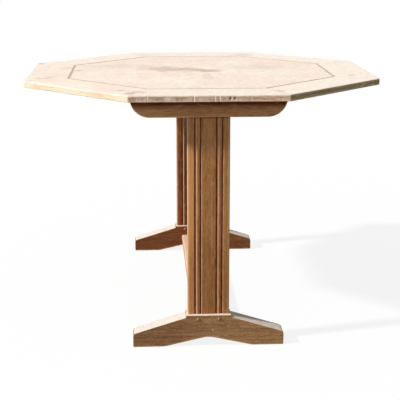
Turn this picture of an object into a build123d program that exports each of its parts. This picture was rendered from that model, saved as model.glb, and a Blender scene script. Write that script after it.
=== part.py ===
from build123d import *
import os
from math import cos, radians, sqrt, tan

# An octagonal wooden table on two flat trestles that a low stretcher ties together.
# Millimetres, +Z up. The origin is on the floor under the middle of the top. The front is -Y,
# and the trestles stand one behind the other along Y.

# The top: a field of boards, a thin dark inlay line and a mitred border
TABLE_HEIGHT = 750.0
TOP_ACROSS_FLATS = 1088.0
TOP_THICKNESS = 19.0
TOP_CORNER_RADIUS = 8.0
TOP_EDGE_RADIUS = 2.0
BORDER_WIDTH = 134.0
FIELD_BOARD_COUNT = 6
FIELD_SEAM_ARRIS = 0.4
INLAY_WIDTH = 5.0
INLAY_THICKNESS = 3.6
INLAY_SINK = 0.4

# Joints inside the top
SEAM_TONGUE_DEPTH = 8.0
SEAM_TONGUE_THICKNESS = 6.0
SEAM_TONGUE_STOP = 36.0
LOOSE_TONGUE_WIDTH = 20.0
LOOSE_TONGUE_THICKNESS = 6.0
LOOSE_TONGUE_STOP = 35.0
MITRE_SPLINE_WIDTH = 24.0
MITRE_SPLINE_THICKNESS = 4.0
MITRE_SPLINE_STOP = 33.0

# Trestles: a bearer, a moulded column and an arched foot in each
TRESTLE_SETBACK = 32.0
TRESTLE_THICKNESS = 54.0
TRESTLE_ARRIS = 1.5
BEARER_LENGTH = 442.0
BEARER_HEIGHT = 48.0
BEARER_END_CURVE = 55.0
COLUMN_WIDTH = 122.0
COLUMN_THICKNESS = 28.0
COLUMN_ARRIS = 2.5
PANEL_WIDTH = 40.0
REED_WIDTH = 17.0
REED_SINK = 0.6
GROOVE_DEPTH = 4.5
GROOVE_WALL_WIDTH = 2.5
FOOT_LENGTH = 445.0
FOOT_HEIGHT = 95.0
FOOT_LEDGE_MARGIN = 5.0
FOOT_LEDGE_STEP = 6.0
FOOT_TIP_HEIGHT = 41.0
FOOT_TIP_RADIUS = 9.0
ARCH_WIDTH = 260.0
ARCH_PEAK = 29.5
ARCH_CROWN_RADIUS = 82.0
ARCH_SPRING_RADIUS = 60.0

# Column tenons and the pegs that pin them in the feet
TENON_SHOULDER = 16.0
TENON_CHEEK = 6.0
FOOT_TENON_FLOOR = 3.0
BEARER_TENON_CAP = 12.0
PEG_DIAMETER = 11.0
PEG_SPACING = 62.0
PEG_DROP = 11.5
PEG_PROUD = 3.5
PEG_CHAMFER = 2.0

# Stretcher between the feet, held by dowels driven in from outside
STRETCHER_WIDTH = 87.0
STRETCHER_THICKNESS = 20.0
STRETCHER_TOP = 60.0
STRETCHER_EDGE_RADIUS = 8.0
STRETCHER_SHOULDER = 10.0
STRETCHER_CHEEK = 4.0
STUB_WALL = 4.0
DOWEL_DIAMETER = 6.0
DOWEL_SPACING = 25.0
DOWEL_REACH = 36.0
DOWEL_PROUD = 0.5

# Rails under the field, from bearer to bearer
RAIL_SPACING = 300.0
RAIL_WIDTH = 32.0
RAIL_HEIGHT = 42.0
RAIL_ARRIS = 2.0
RAIL_CHEEK = 7.0
RAIL_SHOULDER = 8.0

# Screws that hold the top down, driven up through deep counterbores
SCREW_DIAMETER = 4.5
SCREW_HEAD_DIAMETER = 8.5
SCREW_HEAD_HEIGHT = 3.0
SCREW_GRIP = 18.0
SCREW_BITE = 12.0
SCREW_TIP_LENGTH = 4.0
SCREW_SLOT_WIDTH = 1.2
SCREW_SLOT_DEPTH = 1.2
SCREW_HEAD_CLEARANCE = 0.75
BEARER_SCREW_INNER = 75.0
BEARER_SCREW_OUTER = 150.0

# Clearances: beside each face of a joint, and past the end of a tenon, peg or screw
FIT = 0.1
END_GAP = 1.0

# Places and lengths that follow from the sizes above
SIDE_NAMES = [
    "front",
    "front_right",
    "right",
    "rear_right",
    "rear",
    "rear_left",
    "left",
    "front_left",
]
SIDES = len(SIDE_NAMES)
SIDE_ANGLE = 360.0 / SIDES
TRESTLES = {"front": -1, "rear": 1}

mitre_slope = tan(radians(SIDE_ANGLE / 2))
half_top = TOP_ACROSS_FLATS / 2
field_across_flats = TOP_ACROSS_FLATS - 2 * BORDER_WIDTH
half_field = field_across_flats / 2
top_underside = TABLE_HEIGHT - TOP_THICKNESS
top_middle = TABLE_HEIGHT - TOP_THICKNESS / 2
inlay_rebate = INLAY_THICKNESS + INLAY_SINK
board_width = field_across_flats / FIELD_BOARD_COUNT
loose_tongue_length = field_across_flats * mitre_slope - 2 * LOOSE_TONGUE_STOP
loose_groove_depth = LOOSE_TONGUE_WIDTH / 2 + FIT
mitre_middle = (half_top + half_field) / 2 / cos(radians(SIDE_ANGLE / 2))
mitre_length = (half_top - half_field) / cos(radians(SIDE_ANGLE / 2))
spline_length = mitre_length - 2 * MITRE_SPLINE_STOP

trestle_spacing = TOP_ACROSS_FLATS - 2 * TRESTLE_SETBACK - TRESTLE_THICKNESS
bearer_bottom = top_underside - BEARER_HEIGHT
inner_face = (trestle_spacing - TRESTLE_THICKNESS) / 2
peg_height = FOOT_HEIGHT - PEG_DROP
peg_places = [(-PEG_SPACING / 2, peg_height), (PEG_SPACING / 2, peg_height)]
stretcher_middle = STRETCHER_TOP - STRETCHER_THICKNESS / 2
stretcher_stub_width = STRETCHER_WIDTH - 2 * STRETCHER_SHOULDER
stretcher_stub_thickness = STRETCHER_THICKNESS - 2 * STRETCHER_CHEEK
dowel_places = [(-DOWEL_SPACING / 2, stretcher_middle), (DOWEL_SPACING / 2, stretcher_middle)]
rail_bottom = top_underside - RAIL_HEIGHT
rail_middle = top_underside - RAIL_HEIGHT / 2
rail_stub_width = RAIL_WIDTH - 2 * RAIL_CHEEK
rail_stub_height = RAIL_HEIGHT - 2 * RAIL_SHOULDER

tenon_width = COLUMN_WIDTH - 2 * TENON_SHOULDER
tenon_thickness = COLUMN_THICKNESS - 2 * TENON_CHEEK
dowel_top = stretcher_middle + DOWEL_DIAMETER / 2
foot_tenon_length = FOOT_HEIGHT - dowel_top - FOOT_TENON_FLOOR - END_GAP
bearer_tenon_length = BEARER_HEIGHT - BEARER_TENON_CAP - END_GAP
stub_length = (TRESTLE_THICKNESS - tenon_thickness) / 2 - STUB_WALL

screw_hole_radius = SCREW_DIAMETER / 2 + FIT
screw_bore_radius = SCREW_HEAD_DIAMETER / 2 + SCREW_HEAD_CLEARANCE
screw_seat = top_underside - SCREW_GRIP
bearer_screw_rows = [-BEARER_SCREW_OUTER, -BEARER_SCREW_INNER, BEARER_SCREW_INNER, BEARER_SCREW_OUTER]
bearer_screw_places = [
    (x, side * trestle_spacing / 2) for side in TRESTLES.values() for x in bearer_screw_rows
]
rail_screw_rows = [(i + 0.5) * board_width - half_field for i in range(FIELD_BOARD_COUNT)]
rail_screw_places = [(x, y) for x in (-RAIL_SPACING / 2, RAIL_SPACING / 2) for y in rail_screw_rows]


def side_plane(index, height):
    """A level plane turned so that its -Y looks out through one side of the octagon."""
    return Plane.XY.offset(height).rotated((0, 0, index * SIDE_ANGLE))


def upright_plane(y):
    """An upright plane across the table: its X is the table's X and its Y points up."""
    return Plane.XZ.offset(-y)


def seam_tongue_length(y):
    """How long the tongue is on the seam between two field boards at this distance along Y."""
    width_at_seam = min(field_across_flats, 2 * (half_field * sqrt(2) - abs(y)))
    return width_at_seam - 2 * SEAM_TONGUE_STOP


def make_field_board(index):
    """One board of the field, with a tongue on its far edge and a groove in its near edge."""
    near = index * board_width - half_field
    far = near + board_width
    with BuildPart() as board:
        with BuildSketch(Plane.XY.offset(top_underside)):
            RegularPolygon(half_field, SIDES, major_radius=False, rotation=SIDE_ANGLE / 2)
            with Locations((0, (near + far) / 2)):
                Rectangle(field_across_flats, board_width, mode=Mode.INTERSECT)
        extrude(amount=TOP_THICKNESS)
        top_face = board.faces().sort_by(Axis.Z)[-1]
        chamfer(top_face.edges().filter_by(Axis.X), FIELD_SEAM_ARRIS)
        if index < FIELD_BOARD_COUNT - 1:
            with BuildSketch(Plane.XY.offset(top_middle)):
                with Locations((0, far + SEAM_TONGUE_DEPTH / 2)):
                    Rectangle(seam_tongue_length(far), SEAM_TONGUE_DEPTH)
            extrude(amount=SEAM_TONGUE_THICKNESS / 2, both=True)
        if index > 0:
            groove_depth = SEAM_TONGUE_DEPTH + END_GAP
            with BuildSketch(Plane.XY.offset(top_middle)):
                with Locations((0, near + groove_depth / 2)):
                    Rectangle(seam_tongue_length(near) + 2 * END_GAP, groove_depth)
            extrude(amount=SEAM_TONGUE_THICKNESS / 2 + FIT, both=True, mode=Mode.SUBTRACT)
        with BuildSketch(Plane.XY.offset(top_middle)):
            with PolarLocations(half_field - loose_groove_depth / 2, SIDES):
                Rectangle(loose_groove_depth, loose_tongue_length + 2 * END_GAP)
        extrude(amount=LOOSE_TONGUE_THICKNESS / 2 + FIT, both=True, mode=Mode.SUBTRACT)
        with BuildSketch(Plane.XY.offset(top_underside)):
            with Locations(*rail_screw_places):
                Circle(screw_hole_radius)
        extrude(amount=SCREW_BITE + END_GAP, mode=Mode.SUBTRACT)
    return board


def make_border_board(index):
    """One mitred border board, rebated along its inner edge for the inlay."""
    with BuildPart() as board:
        with BuildSketch(side_plane(index, top_underside)):
            with BuildLine():
                Polyline(
                    (-half_field * mitre_slope, -half_field),
                    (half_field * mitre_slope, -half_field),
                    (half_top * mitre_slope, -half_top),
                    (-half_top * mitre_slope, -half_top),
                    close=True,
                )
            make_face()
        extrude(amount=TOP_THICKNESS)
        add(top_outline.part, mode=Mode.INTERSECT)
        with BuildSketch(side_plane(index, TABLE_HEIGHT)):
            with Locations((0, -half_field - INLAY_WIDTH / 2)):
                Rectangle(TOP_ACROSS_FLATS * mitre_slope, INLAY_WIDTH)
        extrude(amount=-inlay_rebate, mode=Mode.SUBTRACT)
        with BuildSketch(side_plane(index, top_middle)):
            with Locations((0, -half_field - loose_groove_depth / 2)):
                Rectangle(loose_tongue_length + 2 * END_GAP, loose_groove_depth)
        extrude(amount=LOOSE_TONGUE_THICKNESS / 2 + FIT, both=True, mode=Mode.SUBTRACT)
        for mitre in (index - 0.5, index + 0.5):
            with BuildSketch(side_plane(mitre, top_middle)):
                with Locations((0, -mitre_middle)):
                    Rectangle(MITRE_SPLINE_WIDTH + 2 * FIT, spline_length + 2 * END_GAP)
            extrude(amount=MITRE_SPLINE_THICKNESS / 2 + FIT, both=True, mode=Mode.SUBTRACT)
        with BuildSketch(Plane.XY.offset(top_underside)):
            with Locations(*bearer_screw_places):
                Circle(screw_hole_radius)
        extrude(amount=SCREW_BITE + END_GAP, mode=Mode.SUBTRACT)
    return board


def make_inlay_strip(index):
    """One dark strip of the line between field and border, mitred to its neighbours."""
    outer = half_field + INLAY_WIDTH
    with BuildPart() as strip:
        with BuildSketch(side_plane(index, TABLE_HEIGHT - inlay_rebate)):
            with BuildLine():
                Polyline(
                    (-half_field * mitre_slope, -half_field),
                    (half_field * mitre_slope, -half_field),
                    (outer * mitre_slope, -outer),
                    (-outer * mitre_slope, -outer),
                    close=True,
                )
            make_face()
        extrude(amount=INLAY_THICKNESS)
    return strip


def make_bearer(side):
    """The cross-piece under the top, with rounded ends, a mortise and two rail sockets."""
    middle = side * trestle_spacing / 2
    half_length = BEARER_LENGTH / 2
    flat = half_length - BEARER_END_CURVE
    with BuildPart() as bearer:
        with BuildSketch(upright_plane(middle)):
            with BuildLine():
                Line((-flat, bearer_bottom), (flat, bearer_bottom))
                TangentArc((flat, bearer_bottom), (half_length, top_underside), tangent=(1, 0))
                Line((half_length, top_underside), (-half_length, top_underside))
                TangentArc((-flat, bearer_bottom), (-half_length, top_underside), tangent=(-1, 0))
            make_face()
        extrude(amount=TRESTLE_THICKNESS / 2, both=True)
        outline = bearer.faces().filter_by(Axis.Y).edges()
        fillet(outline.sort_by(Axis.Z)[:-2], TRESTLE_ARRIS)
        with BuildSketch(Plane(origin=(0, middle, bearer_bottom))):
            Rectangle(tenon_width + 2 * FIT, tenon_thickness + 2 * FIT)
        extrude(amount=bearer_tenon_length + END_GAP, mode=Mode.SUBTRACT)
        with BuildSketch(upright_plane(side * inner_face)):
            with Locations((-RAIL_SPACING / 2, rail_middle), (RAIL_SPACING / 2, rail_middle)):
                Rectangle(rail_stub_width + 2 * FIT, rail_stub_height + 2 * FIT)
        extrude(amount=-side * (stub_length + END_GAP), mode=Mode.SUBTRACT)
        underside = Plane(origin=(0, middle, bearer_bottom), z_dir=(0, 0, -1))
        with Locations(underside):
            with Locations(*[(x, 0) for x in bearer_screw_rows]):
                CounterBoreHole(screw_hole_radius, screw_bore_radius, BEARER_HEIGHT - SCREW_GRIP)
    return bearer


def make_column(side):
    """The moulded upright: a flat panel between reeds, tenoned into foot and bearer."""
    middle = side * trestle_spacing / 2
    face = -COLUMN_THICKNESS / 2
    half_width = COLUMN_WIDTH / 2
    panel_edge = PANEL_WIDTH / 2
    inner_groove = panel_edge + GROOVE_WALL_WIDTH
    outer_groove = inner_groove + REED_WIDTH
    band_edge = outer_groove + GROOVE_WALL_WIDTH
    groove_floor = face + GROOVE_DEPTH
    reed_crown = ((inner_groove + outer_groove) / 2, face + REED_SINK)
    with BuildPart() as column:
        with BuildSketch(Plane(origin=(0, middle, FOOT_HEIGHT))):
            with BuildLine():
                Polyline((0, face), (panel_edge, face), (inner_groove, groove_floor))
                ThreePointArc((inner_groove, groove_floor), reed_crown, (outer_groove, groove_floor))
                Polyline((outer_groove, groove_floor), (band_edge, face), (half_width - COLUMN_ARRIS, face))
                TangentArc(
                    (half_width - COLUMN_ARRIS, face),
                    (half_width, face + COLUMN_ARRIS),
                    tangent=(1, 0),
                )
                Line((half_width, face + COLUMN_ARRIS), (half_width, 0))
                mirror(about=Plane.YZ)
                mirror(about=Plane.XZ)
            make_face()
        extrude(amount=bearer_bottom - FOOT_HEIGHT)
        with BuildSketch(Plane(origin=(0, middle, FOOT_HEIGHT))):
            Rectangle(tenon_width, tenon_thickness)
        extrude(amount=-foot_tenon_length)
        with BuildSketch(Plane(origin=(0, middle, bearer_bottom))):
            Rectangle(tenon_width, tenon_thickness)
        extrude(amount=bearer_tenon_length)
        with BuildSketch(upright_plane(middle)):
            with Locations(*peg_places):
                Circle(PEG_DIAMETER / 2 + FIT)
        extrude(amount=tenon_thickness, both=True, mode=Mode.SUBTRACT)
    return column


def make_foot(side):
    """The arched foot: a ledge for the column, sloping arms with round tips and two pads."""
    middle = side * trestle_spacing / 2
    tip = FOOT_LENGTH / 2
    spring = ARCH_WIDTH / 2
    ledge = COLUMN_WIDTH / 2 + FOOT_LEDGE_MARGIN
    with BuildPart() as foot:
        with BuildSketch(upright_plane(middle)) as profile:
            with BuildLine():
                Polyline(
                    (0, ARCH_PEAK),
                    (spring, 0),
                    (tip, 0),
                    (tip, FOOT_TIP_HEIGHT),
                    (ledge, FOOT_HEIGHT - FOOT_LEDGE_STEP),
                    (ledge, FOOT_HEIGHT),
                )
                mirror(about=Plane.YZ)
                Line((ledge, FOOT_HEIGHT), (-ledge, FOOT_HEIGHT))
            make_face()
            fillet(profile.vertices().sort_by_distance((0, ARCH_PEAK))[0], ARCH_CROWN_RADIUS)
            for end in (-1, 1):
                fillet(profile.vertices().sort_by_distance((end * spring, 0))[0], ARCH_SPRING_RADIUS)
                fillet(
                    profile.vertices().sort_by_distance((end * tip, FOOT_TIP_HEIGHT))[0],
                    FOOT_TIP_RADIUS,
                )
        extrude(amount=TRESTLE_THICKNESS / 2, both=True)
        fillet(foot.faces().filter_by(Axis.Y).edges(), TRESTLE_ARRIS)
        with BuildSketch(Plane(origin=(0, middle, FOOT_HEIGHT))):
            Rectangle(tenon_width + 2 * FIT, tenon_thickness + 2 * FIT)
        extrude(amount=-foot_tenon_length - END_GAP, mode=Mode.SUBTRACT)
        with BuildSketch(upright_plane(middle)):
            with Locations(*peg_places):
                Circle(PEG_DIAMETER / 2 + FIT)
            with Locations(*dowel_places):
                Circle(DOWEL_DIAMETER / 2 + FIT)
        extrude(amount=TRESTLE_THICKNESS, both=True, mode=Mode.SUBTRACT)
        with BuildSketch(upright_plane(side * inner_face)):
            with Locations((0, stretcher_middle)):
                Rectangle(stretcher_stub_width + 2 * FIT, stretcher_stub_thickness + 2 * FIT)
        extrude(amount=-side * (stub_length + END_GAP), mode=Mode.SUBTRACT)
    return foot


def make_foot_pegs(side):
    """The two pegs that run right through a foot and its tenon, proud on both faces."""
    with BuildPart() as pegs:
        with BuildSketch(upright_plane(side * trestle_spacing / 2)):
            with Locations(*peg_places):
                Circle(PEG_DIAMETER / 2)
        extrude(amount=TRESTLE_THICKNESS / 2 + PEG_PROUD, both=True)
        chamfer(pegs.edges().filter_by(GeomType.CIRCLE), PEG_CHAMFER)
    return pegs


def make_stretcher_dowels(side):
    """The two dowels driven through a foot into the end of the stretcher."""
    dowel_length = TRESTLE_THICKNESS + DOWEL_PROUD + DOWEL_REACH
    with BuildPart() as dowels:
        with BuildSketch(upright_plane(side * (inner_face - DOWEL_REACH))):
            with Locations(*dowel_places):
                Circle(DOWEL_DIAMETER / 2)
        extrude(amount=-side * dowel_length)
    return dowels


def make_top_rail(side):
    """A rail from bearer to bearer, with stub tenons and one counterbored hole for each board."""
    middle = side * RAIL_SPACING / 2
    with BuildPart() as rail:
        with BuildSketch(upright_plane(0)):
            with Locations((middle, rail_middle)):
                Rectangle(RAIL_WIDTH, RAIL_HEIGHT)
        extrude(amount=inner_face, both=True)
        lower_edges = rail.edges().filter_by(Axis.Y).group_by(Axis.Z)[0]
        chamfer(lower_edges, RAIL_ARRIS)
        with BuildSketch(upright_plane(0)):
            with Locations((middle, rail_middle)):
                Rectangle(rail_stub_width, rail_stub_height)
        extrude(amount=inner_face + stub_length, both=True)
        underside = Plane(origin=(middle, 0, rail_bottom), x_dir=(0, 1, 0), z_dir=(0, 0, -1))
        with Locations(underside):
            with Locations(*[(y, 0) for y in rail_screw_rows]):
                CounterBoreHole(screw_hole_radius, screw_bore_radius, RAIL_HEIGHT - SCREW_GRIP)
    return rail


def make_screws(places):
    """A group of screws with their heads on the seat, pointing up into the top."""
    with BuildPart() as screws:
        with Locations(*[(x, y, screw_seat) for x, y in places]):
            add(screw.part)
    return screws


def save(piece, name):
    """Label a piece and write it under its own name."""
    piece.part.label = name
    export_step(piece.part, f"parts/{name}.step")


# The finished outline of the whole top, which every border board is trimmed to
with BuildPart() as top_outline:
    with BuildSketch(Plane.XY.offset(top_underside)) as outline:
        RegularPolygon(half_top, SIDES, major_radius=False, rotation=SIDE_ANGLE / 2)
        fillet(outline.vertices(), TOP_CORNER_RADIUS)
    extrude(amount=TOP_THICKNESS)
    fillet(top_outline.faces().filter_by(Axis.Z).edges(), TOP_EDGE_RADIUS)

with BuildPart() as border_tongues:
    with BuildSketch(Plane.XY.offset(top_middle)):
        with PolarLocations(half_field, SIDES):
            Rectangle(LOOSE_TONGUE_WIDTH, loose_tongue_length)
    extrude(amount=LOOSE_TONGUE_THICKNESS / 2, both=True)

with BuildPart() as mitre_splines:
    with BuildSketch(Plane.XY.offset(top_middle)):
        with PolarLocations(mitre_middle, SIDES, start_angle=SIDE_ANGLE / 2):
            Rectangle(spline_length, MITRE_SPLINE_WIDTH)
    extrude(amount=MITRE_SPLINE_THICKNESS / 2, both=True)

with BuildPart() as stretcher:
    with BuildSketch(upright_plane(0)):
        with Locations((0, stretcher_middle)):
            RectangleRounded(STRETCHER_WIDTH, STRETCHER_THICKNESS, STRETCHER_EDGE_RADIUS)
    extrude(amount=inner_face, both=True)
    with BuildSketch(upright_plane(0)):
        with Locations((0, stretcher_middle)):
            Rectangle(stretcher_stub_width, stretcher_stub_thickness)
    extrude(amount=inner_face + stub_length, both=True)
    for side in TRESTLES.values():
        with BuildSketch(upright_plane(side * (inner_face - DOWEL_REACH - END_GAP))):
            with Locations(*dowel_places):
                Circle(DOWEL_DIAMETER / 2 + FIT)
        extrude(amount=-side * (DOWEL_REACH + END_GAP + stub_length), mode=Mode.SUBTRACT)

# One slotted screw, with its seat at the origin and its point up
with BuildPart() as screw:
    with BuildSketch(Plane.XZ):
        with BuildLine():
            Polyline(
                (0, -SCREW_HEAD_HEIGHT),
                (SCREW_HEAD_DIAMETER / 2, -SCREW_HEAD_HEIGHT),
                (SCREW_HEAD_DIAMETER / 2, 0),
                (SCREW_DIAMETER / 2, 0),
                (SCREW_DIAMETER / 2, SCREW_GRIP + SCREW_BITE - SCREW_TIP_LENGTH),
                (0, SCREW_GRIP + SCREW_BITE),
                close=True,
            )
        make_face()
    revolve(axis=Axis.Z)
    with BuildSketch(Plane.XY.offset(-SCREW_HEAD_HEIGHT)):
        Rectangle(SCREW_HEAD_DIAMETER, SCREW_SLOT_WIDTH)
    extrude(amount=SCREW_SLOT_DEPTH, mode=Mode.SUBTRACT)

os.makedirs("parts", exist_ok=True)
for number in range(FIELD_BOARD_COUNT):
    save(make_field_board(number), f"field_board_{number + 1}")
for number, name in enumerate(SIDE_NAMES):
    save(make_border_board(number), f"border_{name}")
    save(make_inlay_strip(number), f"inlay_{name}")
save(border_tongues, "border_tongues")
save(mitre_splines, "mitre_splines")
for name, side in TRESTLES.items():
    save(make_bearer(side), f"bearer_{name}")
    save(make_column(side), f"column_{name}")
    save(make_foot(side), f"foot_{name}")
    save(make_foot_pegs(side), f"foot_pegs_{name}")
    save(make_stretcher_dowels(side), f"stretcher_dowels_{name}")
save(stretcher, "stretcher")
save(make_top_rail(-1), "top_rail_left")
save(make_top_rail(1), "top_rail_right")
save(make_screws(bearer_screw_places), "bearer_screws")
save(make_screws(rail_screw_places), "rail_screws")
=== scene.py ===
# %% [markdown]
# # An old octagonal table on two trestles
#
# The frame that is loaded first is the table's joinery: boards, tenons, pegs and screws at their
# real size. This lesson dresses it. The boards that show are modelled again with rubbed and chipped
# arrises, because no old board keeps the crisp edges of a drawing, and each kind of wood gets a
# finish made of nodes. Small parts whose shape is already right, such as the screws and the inlay,
# stay as they are and only take a finish.

# %% Load the joinery
import math

import bmesh
import bpy
import numpy as np
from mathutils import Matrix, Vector, noise


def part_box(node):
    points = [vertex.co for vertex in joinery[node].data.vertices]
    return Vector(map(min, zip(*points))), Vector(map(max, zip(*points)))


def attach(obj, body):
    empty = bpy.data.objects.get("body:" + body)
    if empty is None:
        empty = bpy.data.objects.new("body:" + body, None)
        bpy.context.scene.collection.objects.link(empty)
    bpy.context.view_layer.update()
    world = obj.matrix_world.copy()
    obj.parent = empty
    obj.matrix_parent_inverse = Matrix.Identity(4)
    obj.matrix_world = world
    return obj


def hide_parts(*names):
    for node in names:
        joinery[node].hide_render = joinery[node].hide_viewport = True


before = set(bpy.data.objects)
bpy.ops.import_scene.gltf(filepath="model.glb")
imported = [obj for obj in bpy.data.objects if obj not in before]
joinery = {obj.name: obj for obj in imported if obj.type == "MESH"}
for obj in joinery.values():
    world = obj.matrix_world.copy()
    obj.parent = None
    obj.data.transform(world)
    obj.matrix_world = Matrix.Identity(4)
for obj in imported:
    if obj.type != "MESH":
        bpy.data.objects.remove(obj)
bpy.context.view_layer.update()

# %% [markdown]
# ## Sizes
#
# A new board has to lie exactly where its drawn one lies. The sizes could be typed in again, but then
# they would drift apart, so they are read off the frame, in metres. Only shapes inside a node's box,
# such as the moulding of a column, need values of their own later on.

# %% Read the sizes off the frame
border_low, border_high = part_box("border_front")
inlay_low, inlay_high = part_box("inlay_front")
bearer_low, bearer_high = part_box("bearer_front")
column_low, column_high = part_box("column_front")
foot_low, foot_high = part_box("foot_front")
peg_low, peg_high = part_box("foot_pegs_front")
stretcher_low, stretcher_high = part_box("stretcher")
rail_low, rail_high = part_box("top_rail_right")

table_height = border_high.z
top_underside = border_low.z
half_top = -border_low.y
half_field = -border_high.y
inlay_width = inlay_high.y - inlay_low.y
trestle_middle = -(foot_low.y + foot_high.y) / 2
trestle_half = (foot_high.y - foot_low.y) / 2
inner_face = trestle_middle - trestle_half
print("top", round(2 * half_top, 3), "across flats, field", round(2 * half_field, 3))

# %% [markdown]
# ## A board is a loft
#
# A board is one outline carried from end to end. Here the outline is a ring of points, and a skin of
# four-sided faces runs from ring to ring. A bevel modifier could round the edges afterwards, but it
# rounds them all alike. Rounding the outline itself lets an arris be rubbed more in one place and
# chipped in another. While a ring is made, each point also notes how exposed it is, so that the
# finish can wear pale there, or how sheltered it is, so that dirt can collect there and painted
# shade can darken it.

# %% Outlines with softened corners
ARC_STEPS = 4
RUB_FADE = 0.0014
SHADE_AND_DIRT_FADE = 0.0022
LARGEST_SHARE = 0.45


def bend(start, corner, end, s):
    """A point of the curve from start to end that a corner pulls towards itself."""
    return (1 - s) ** 2 * start + 2 * s * (1 - s) * corner + s**2 * end


def soften(corners, reach, steps, lean, shade_and_dirt_fade=SHADE_AND_DIRT_FADE):
    """Round the corners of a closed outline at every station along a board.

    corners is stations x corners x 2, and reach, stations x corners, says how far each rounding goes.
    steps cuts each straight run, and lean is 1 at an arris, -1 in a hollow and between them elsewhere.
    shade_and_dirt_fade is how far dirt and painted shade spread out of a hollow, one value for all runs or
    one for each.
    """
    to_last = np.roll(corners, 1, axis=1) - corners
    to_next = np.roll(corners, -1, axis=1) - corners
    last_run = np.linalg.norm(to_last, axis=2)
    next_run = np.linalg.norm(to_next, axis=2)
    reach = np.minimum(reach, LARGEST_SHARE * np.minimum(last_run, next_run))
    starts = corners + to_last * (reach / last_run)[..., None]
    ends = corners + to_next * (reach / next_run)[..., None]
    stations, count = corners.shape[:2]
    worn = np.clip(lean, 0, 1)
    hidden = np.clip(np.negative(lean), 0, 1)
    shade_and_dirt_fade = np.broadcast_to(shade_and_dirt_fade, count)
    points, exposed, sheltered = [], [], []
    for here in range(count):
        there = (here + 1) % count
        for s in np.linspace(0, 1, ARC_STEPS + 1):
            points.append(bend(starts[:, here], corners[:, here], ends[:, here], s))
            exposed.append(np.full(stations, worn[here]))
            sheltered.append(np.full(stations, hidden[here]))
        for s in (1 - np.cos(np.pi * np.arange(1, steps[here]) / steps[here])) / 2:
            point = (1 - s) * ends[:, here] + s * starts[:, there]
            near = np.linalg.norm(point - ends[:, here], axis=1)
            far = np.linalg.norm(point - starts[:, there], axis=1)
            points.append(point)
            rub = [np.exp(-distance / RUB_FADE) for distance in (near, far)]
            dirt = [np.exp(-distance / shade_and_dirt_fade[here]) for distance in (near, far)]
            exposed.append(np.maximum(worn[here] * rub[0], worn[there] * rub[1]))
            sheltered.append(np.maximum(hidden[here] * dirt[0], hidden[there] * dirt[1]))
    return [np.stack(rows, axis=1) for rows in (points, exposed, sheltered)]


print("an arris is", ARC_STEPS, "strips wide")

# %% Outlines along a board
def at_stations(count, outline):
    """Corners of an outline at every station, each one a value or a row of values along the board."""
    corners = [[np.broadcast_to(value, count) for value in corner] for corner in outline]
    return np.array(corners).transpose(2, 0, 1)


def bar(near, far, low, high, reach, steps, lean=(1, 1, 1, 1)):
    """The softened outline of a plain board between two faces, an underside and a top."""
    corners = at_stations(len(reach), [(near, low), (far, low), (far, high), (near, high)])
    return soften(corners, reach, steps, lean)


def lay_along(axis, places, outline):
    """Rings in space: the outline of every station, with its place along X, Y or Z put in."""
    rings = np.insert(outline, axis, 0.0, axis=2)
    rings[..., axis] = places
    return rings


square = bar(0, 1, 0, 1, np.full((1, 4), 0.1), [2] * 4)[0]
print("a square with softened corners has", square.shape[1], "points")

# %% [markdown]
# Wear is noise read along the board: a slow part for the rubbing of hands and brooms, and a quick
# part, cut off below a level, for the odd chip. The noise is the same in every run, so the table is
# always the same table.

# %% Rubbed and chipped arrises
RUB_LENGTH = 0.09
CHIP_LENGTH = 0.016
CHIP_LEVEL = 0.3
CHIP_SEED = 40.3
WEAR_SHARE = 0.6
SMALL_ARRIS = 0.0004


def drift(places, length, seed):
    """Smooth noise between about -1 and 1 at places along a board."""
    return np.array([noise.noise(Vector((place / length, seed, 0.5))) for place in places])


def rubbed(places, fresh, worn, seed):
    """How far an arris has worn back along a board, with a chip here and there."""
    rub = 0.5 + 0.5 * drift(places, RUB_LENGTH, seed)
    chips = np.clip(drift(places, CHIP_LENGTH, seed + CHIP_SEED) - CHIP_LEVEL, 0, CHIP_LEVEL) / CHIP_LEVEL
    return fresh + (worn - fresh) * np.clip(WEAR_SHARE * (rub + chips), 0, 1)


def corner_wear(places, shift, *corners):
    """How far each corner is rounded along a board.

    A corner is one size, or a fresh size, a worn size and a seed. shift makes the seeds the board's own.
    """
    rows = []
    for corner in corners:
        if np.ndim(corner) == 0:
            rows.append(np.full(len(places), corner))
        else:
            fresh, worn, seed = corner
            rows.append(rubbed(places, fresh, worn, seed + shift))
    return np.stack(rows, axis=1)


sample = rubbed(np.linspace(0, 1, 200), 0.0015, 0.004, 3.7)
print("an arris wears between", round(sample.min() * 1000, 1), "and", round(sample.max() * 1000, 1), "mm")

# %% [markdown]
# The skin is closed with a flat face on each end, cleaned, and shaded smooth except at sharp turns.
# Shading all of it smooth would make the flat faces look swollen, and shading none of it would show
# every strip of the rounding.

# %% From rings to a skin
SHARP_TURN = math.radians(40)
SAME = 1e-6


def note(mesh, label, values):
    """Store a number on the points of a mesh, one for all or one for each."""
    layer = mesh.attributes.new(label, "FLOAT", "POINT")
    values = np.broadcast_to(np.ravel(values), len(mesh.vertices))
    layer.data.foreach_set("value", values.astype(np.float32))


def skin(name, rings, exposed, sheltered):
    """One closed mesh through the rings that keeps what each point noted."""
    stations, count = rings.shape[:2]
    ring = np.arange(count)
    onward = np.roll(ring, -1)
    strip = np.stack([ring, onward, onward + count, ring + count], axis=1)
    faces = np.concatenate([strip + s * count for s in range(stations - 1)]).tolist()
    faces += [ring[::-1].tolist(), (ring + (stations - 1) * count).tolist()]
    mesh = bpy.data.meshes.new(name)
    mesh.from_pydata(rings.reshape(-1, 3).tolist(), [], faces)
    note(mesh, "exposed", exposed)
    note(mesh, "sheltered", sheltered)
    return mesh


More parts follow.
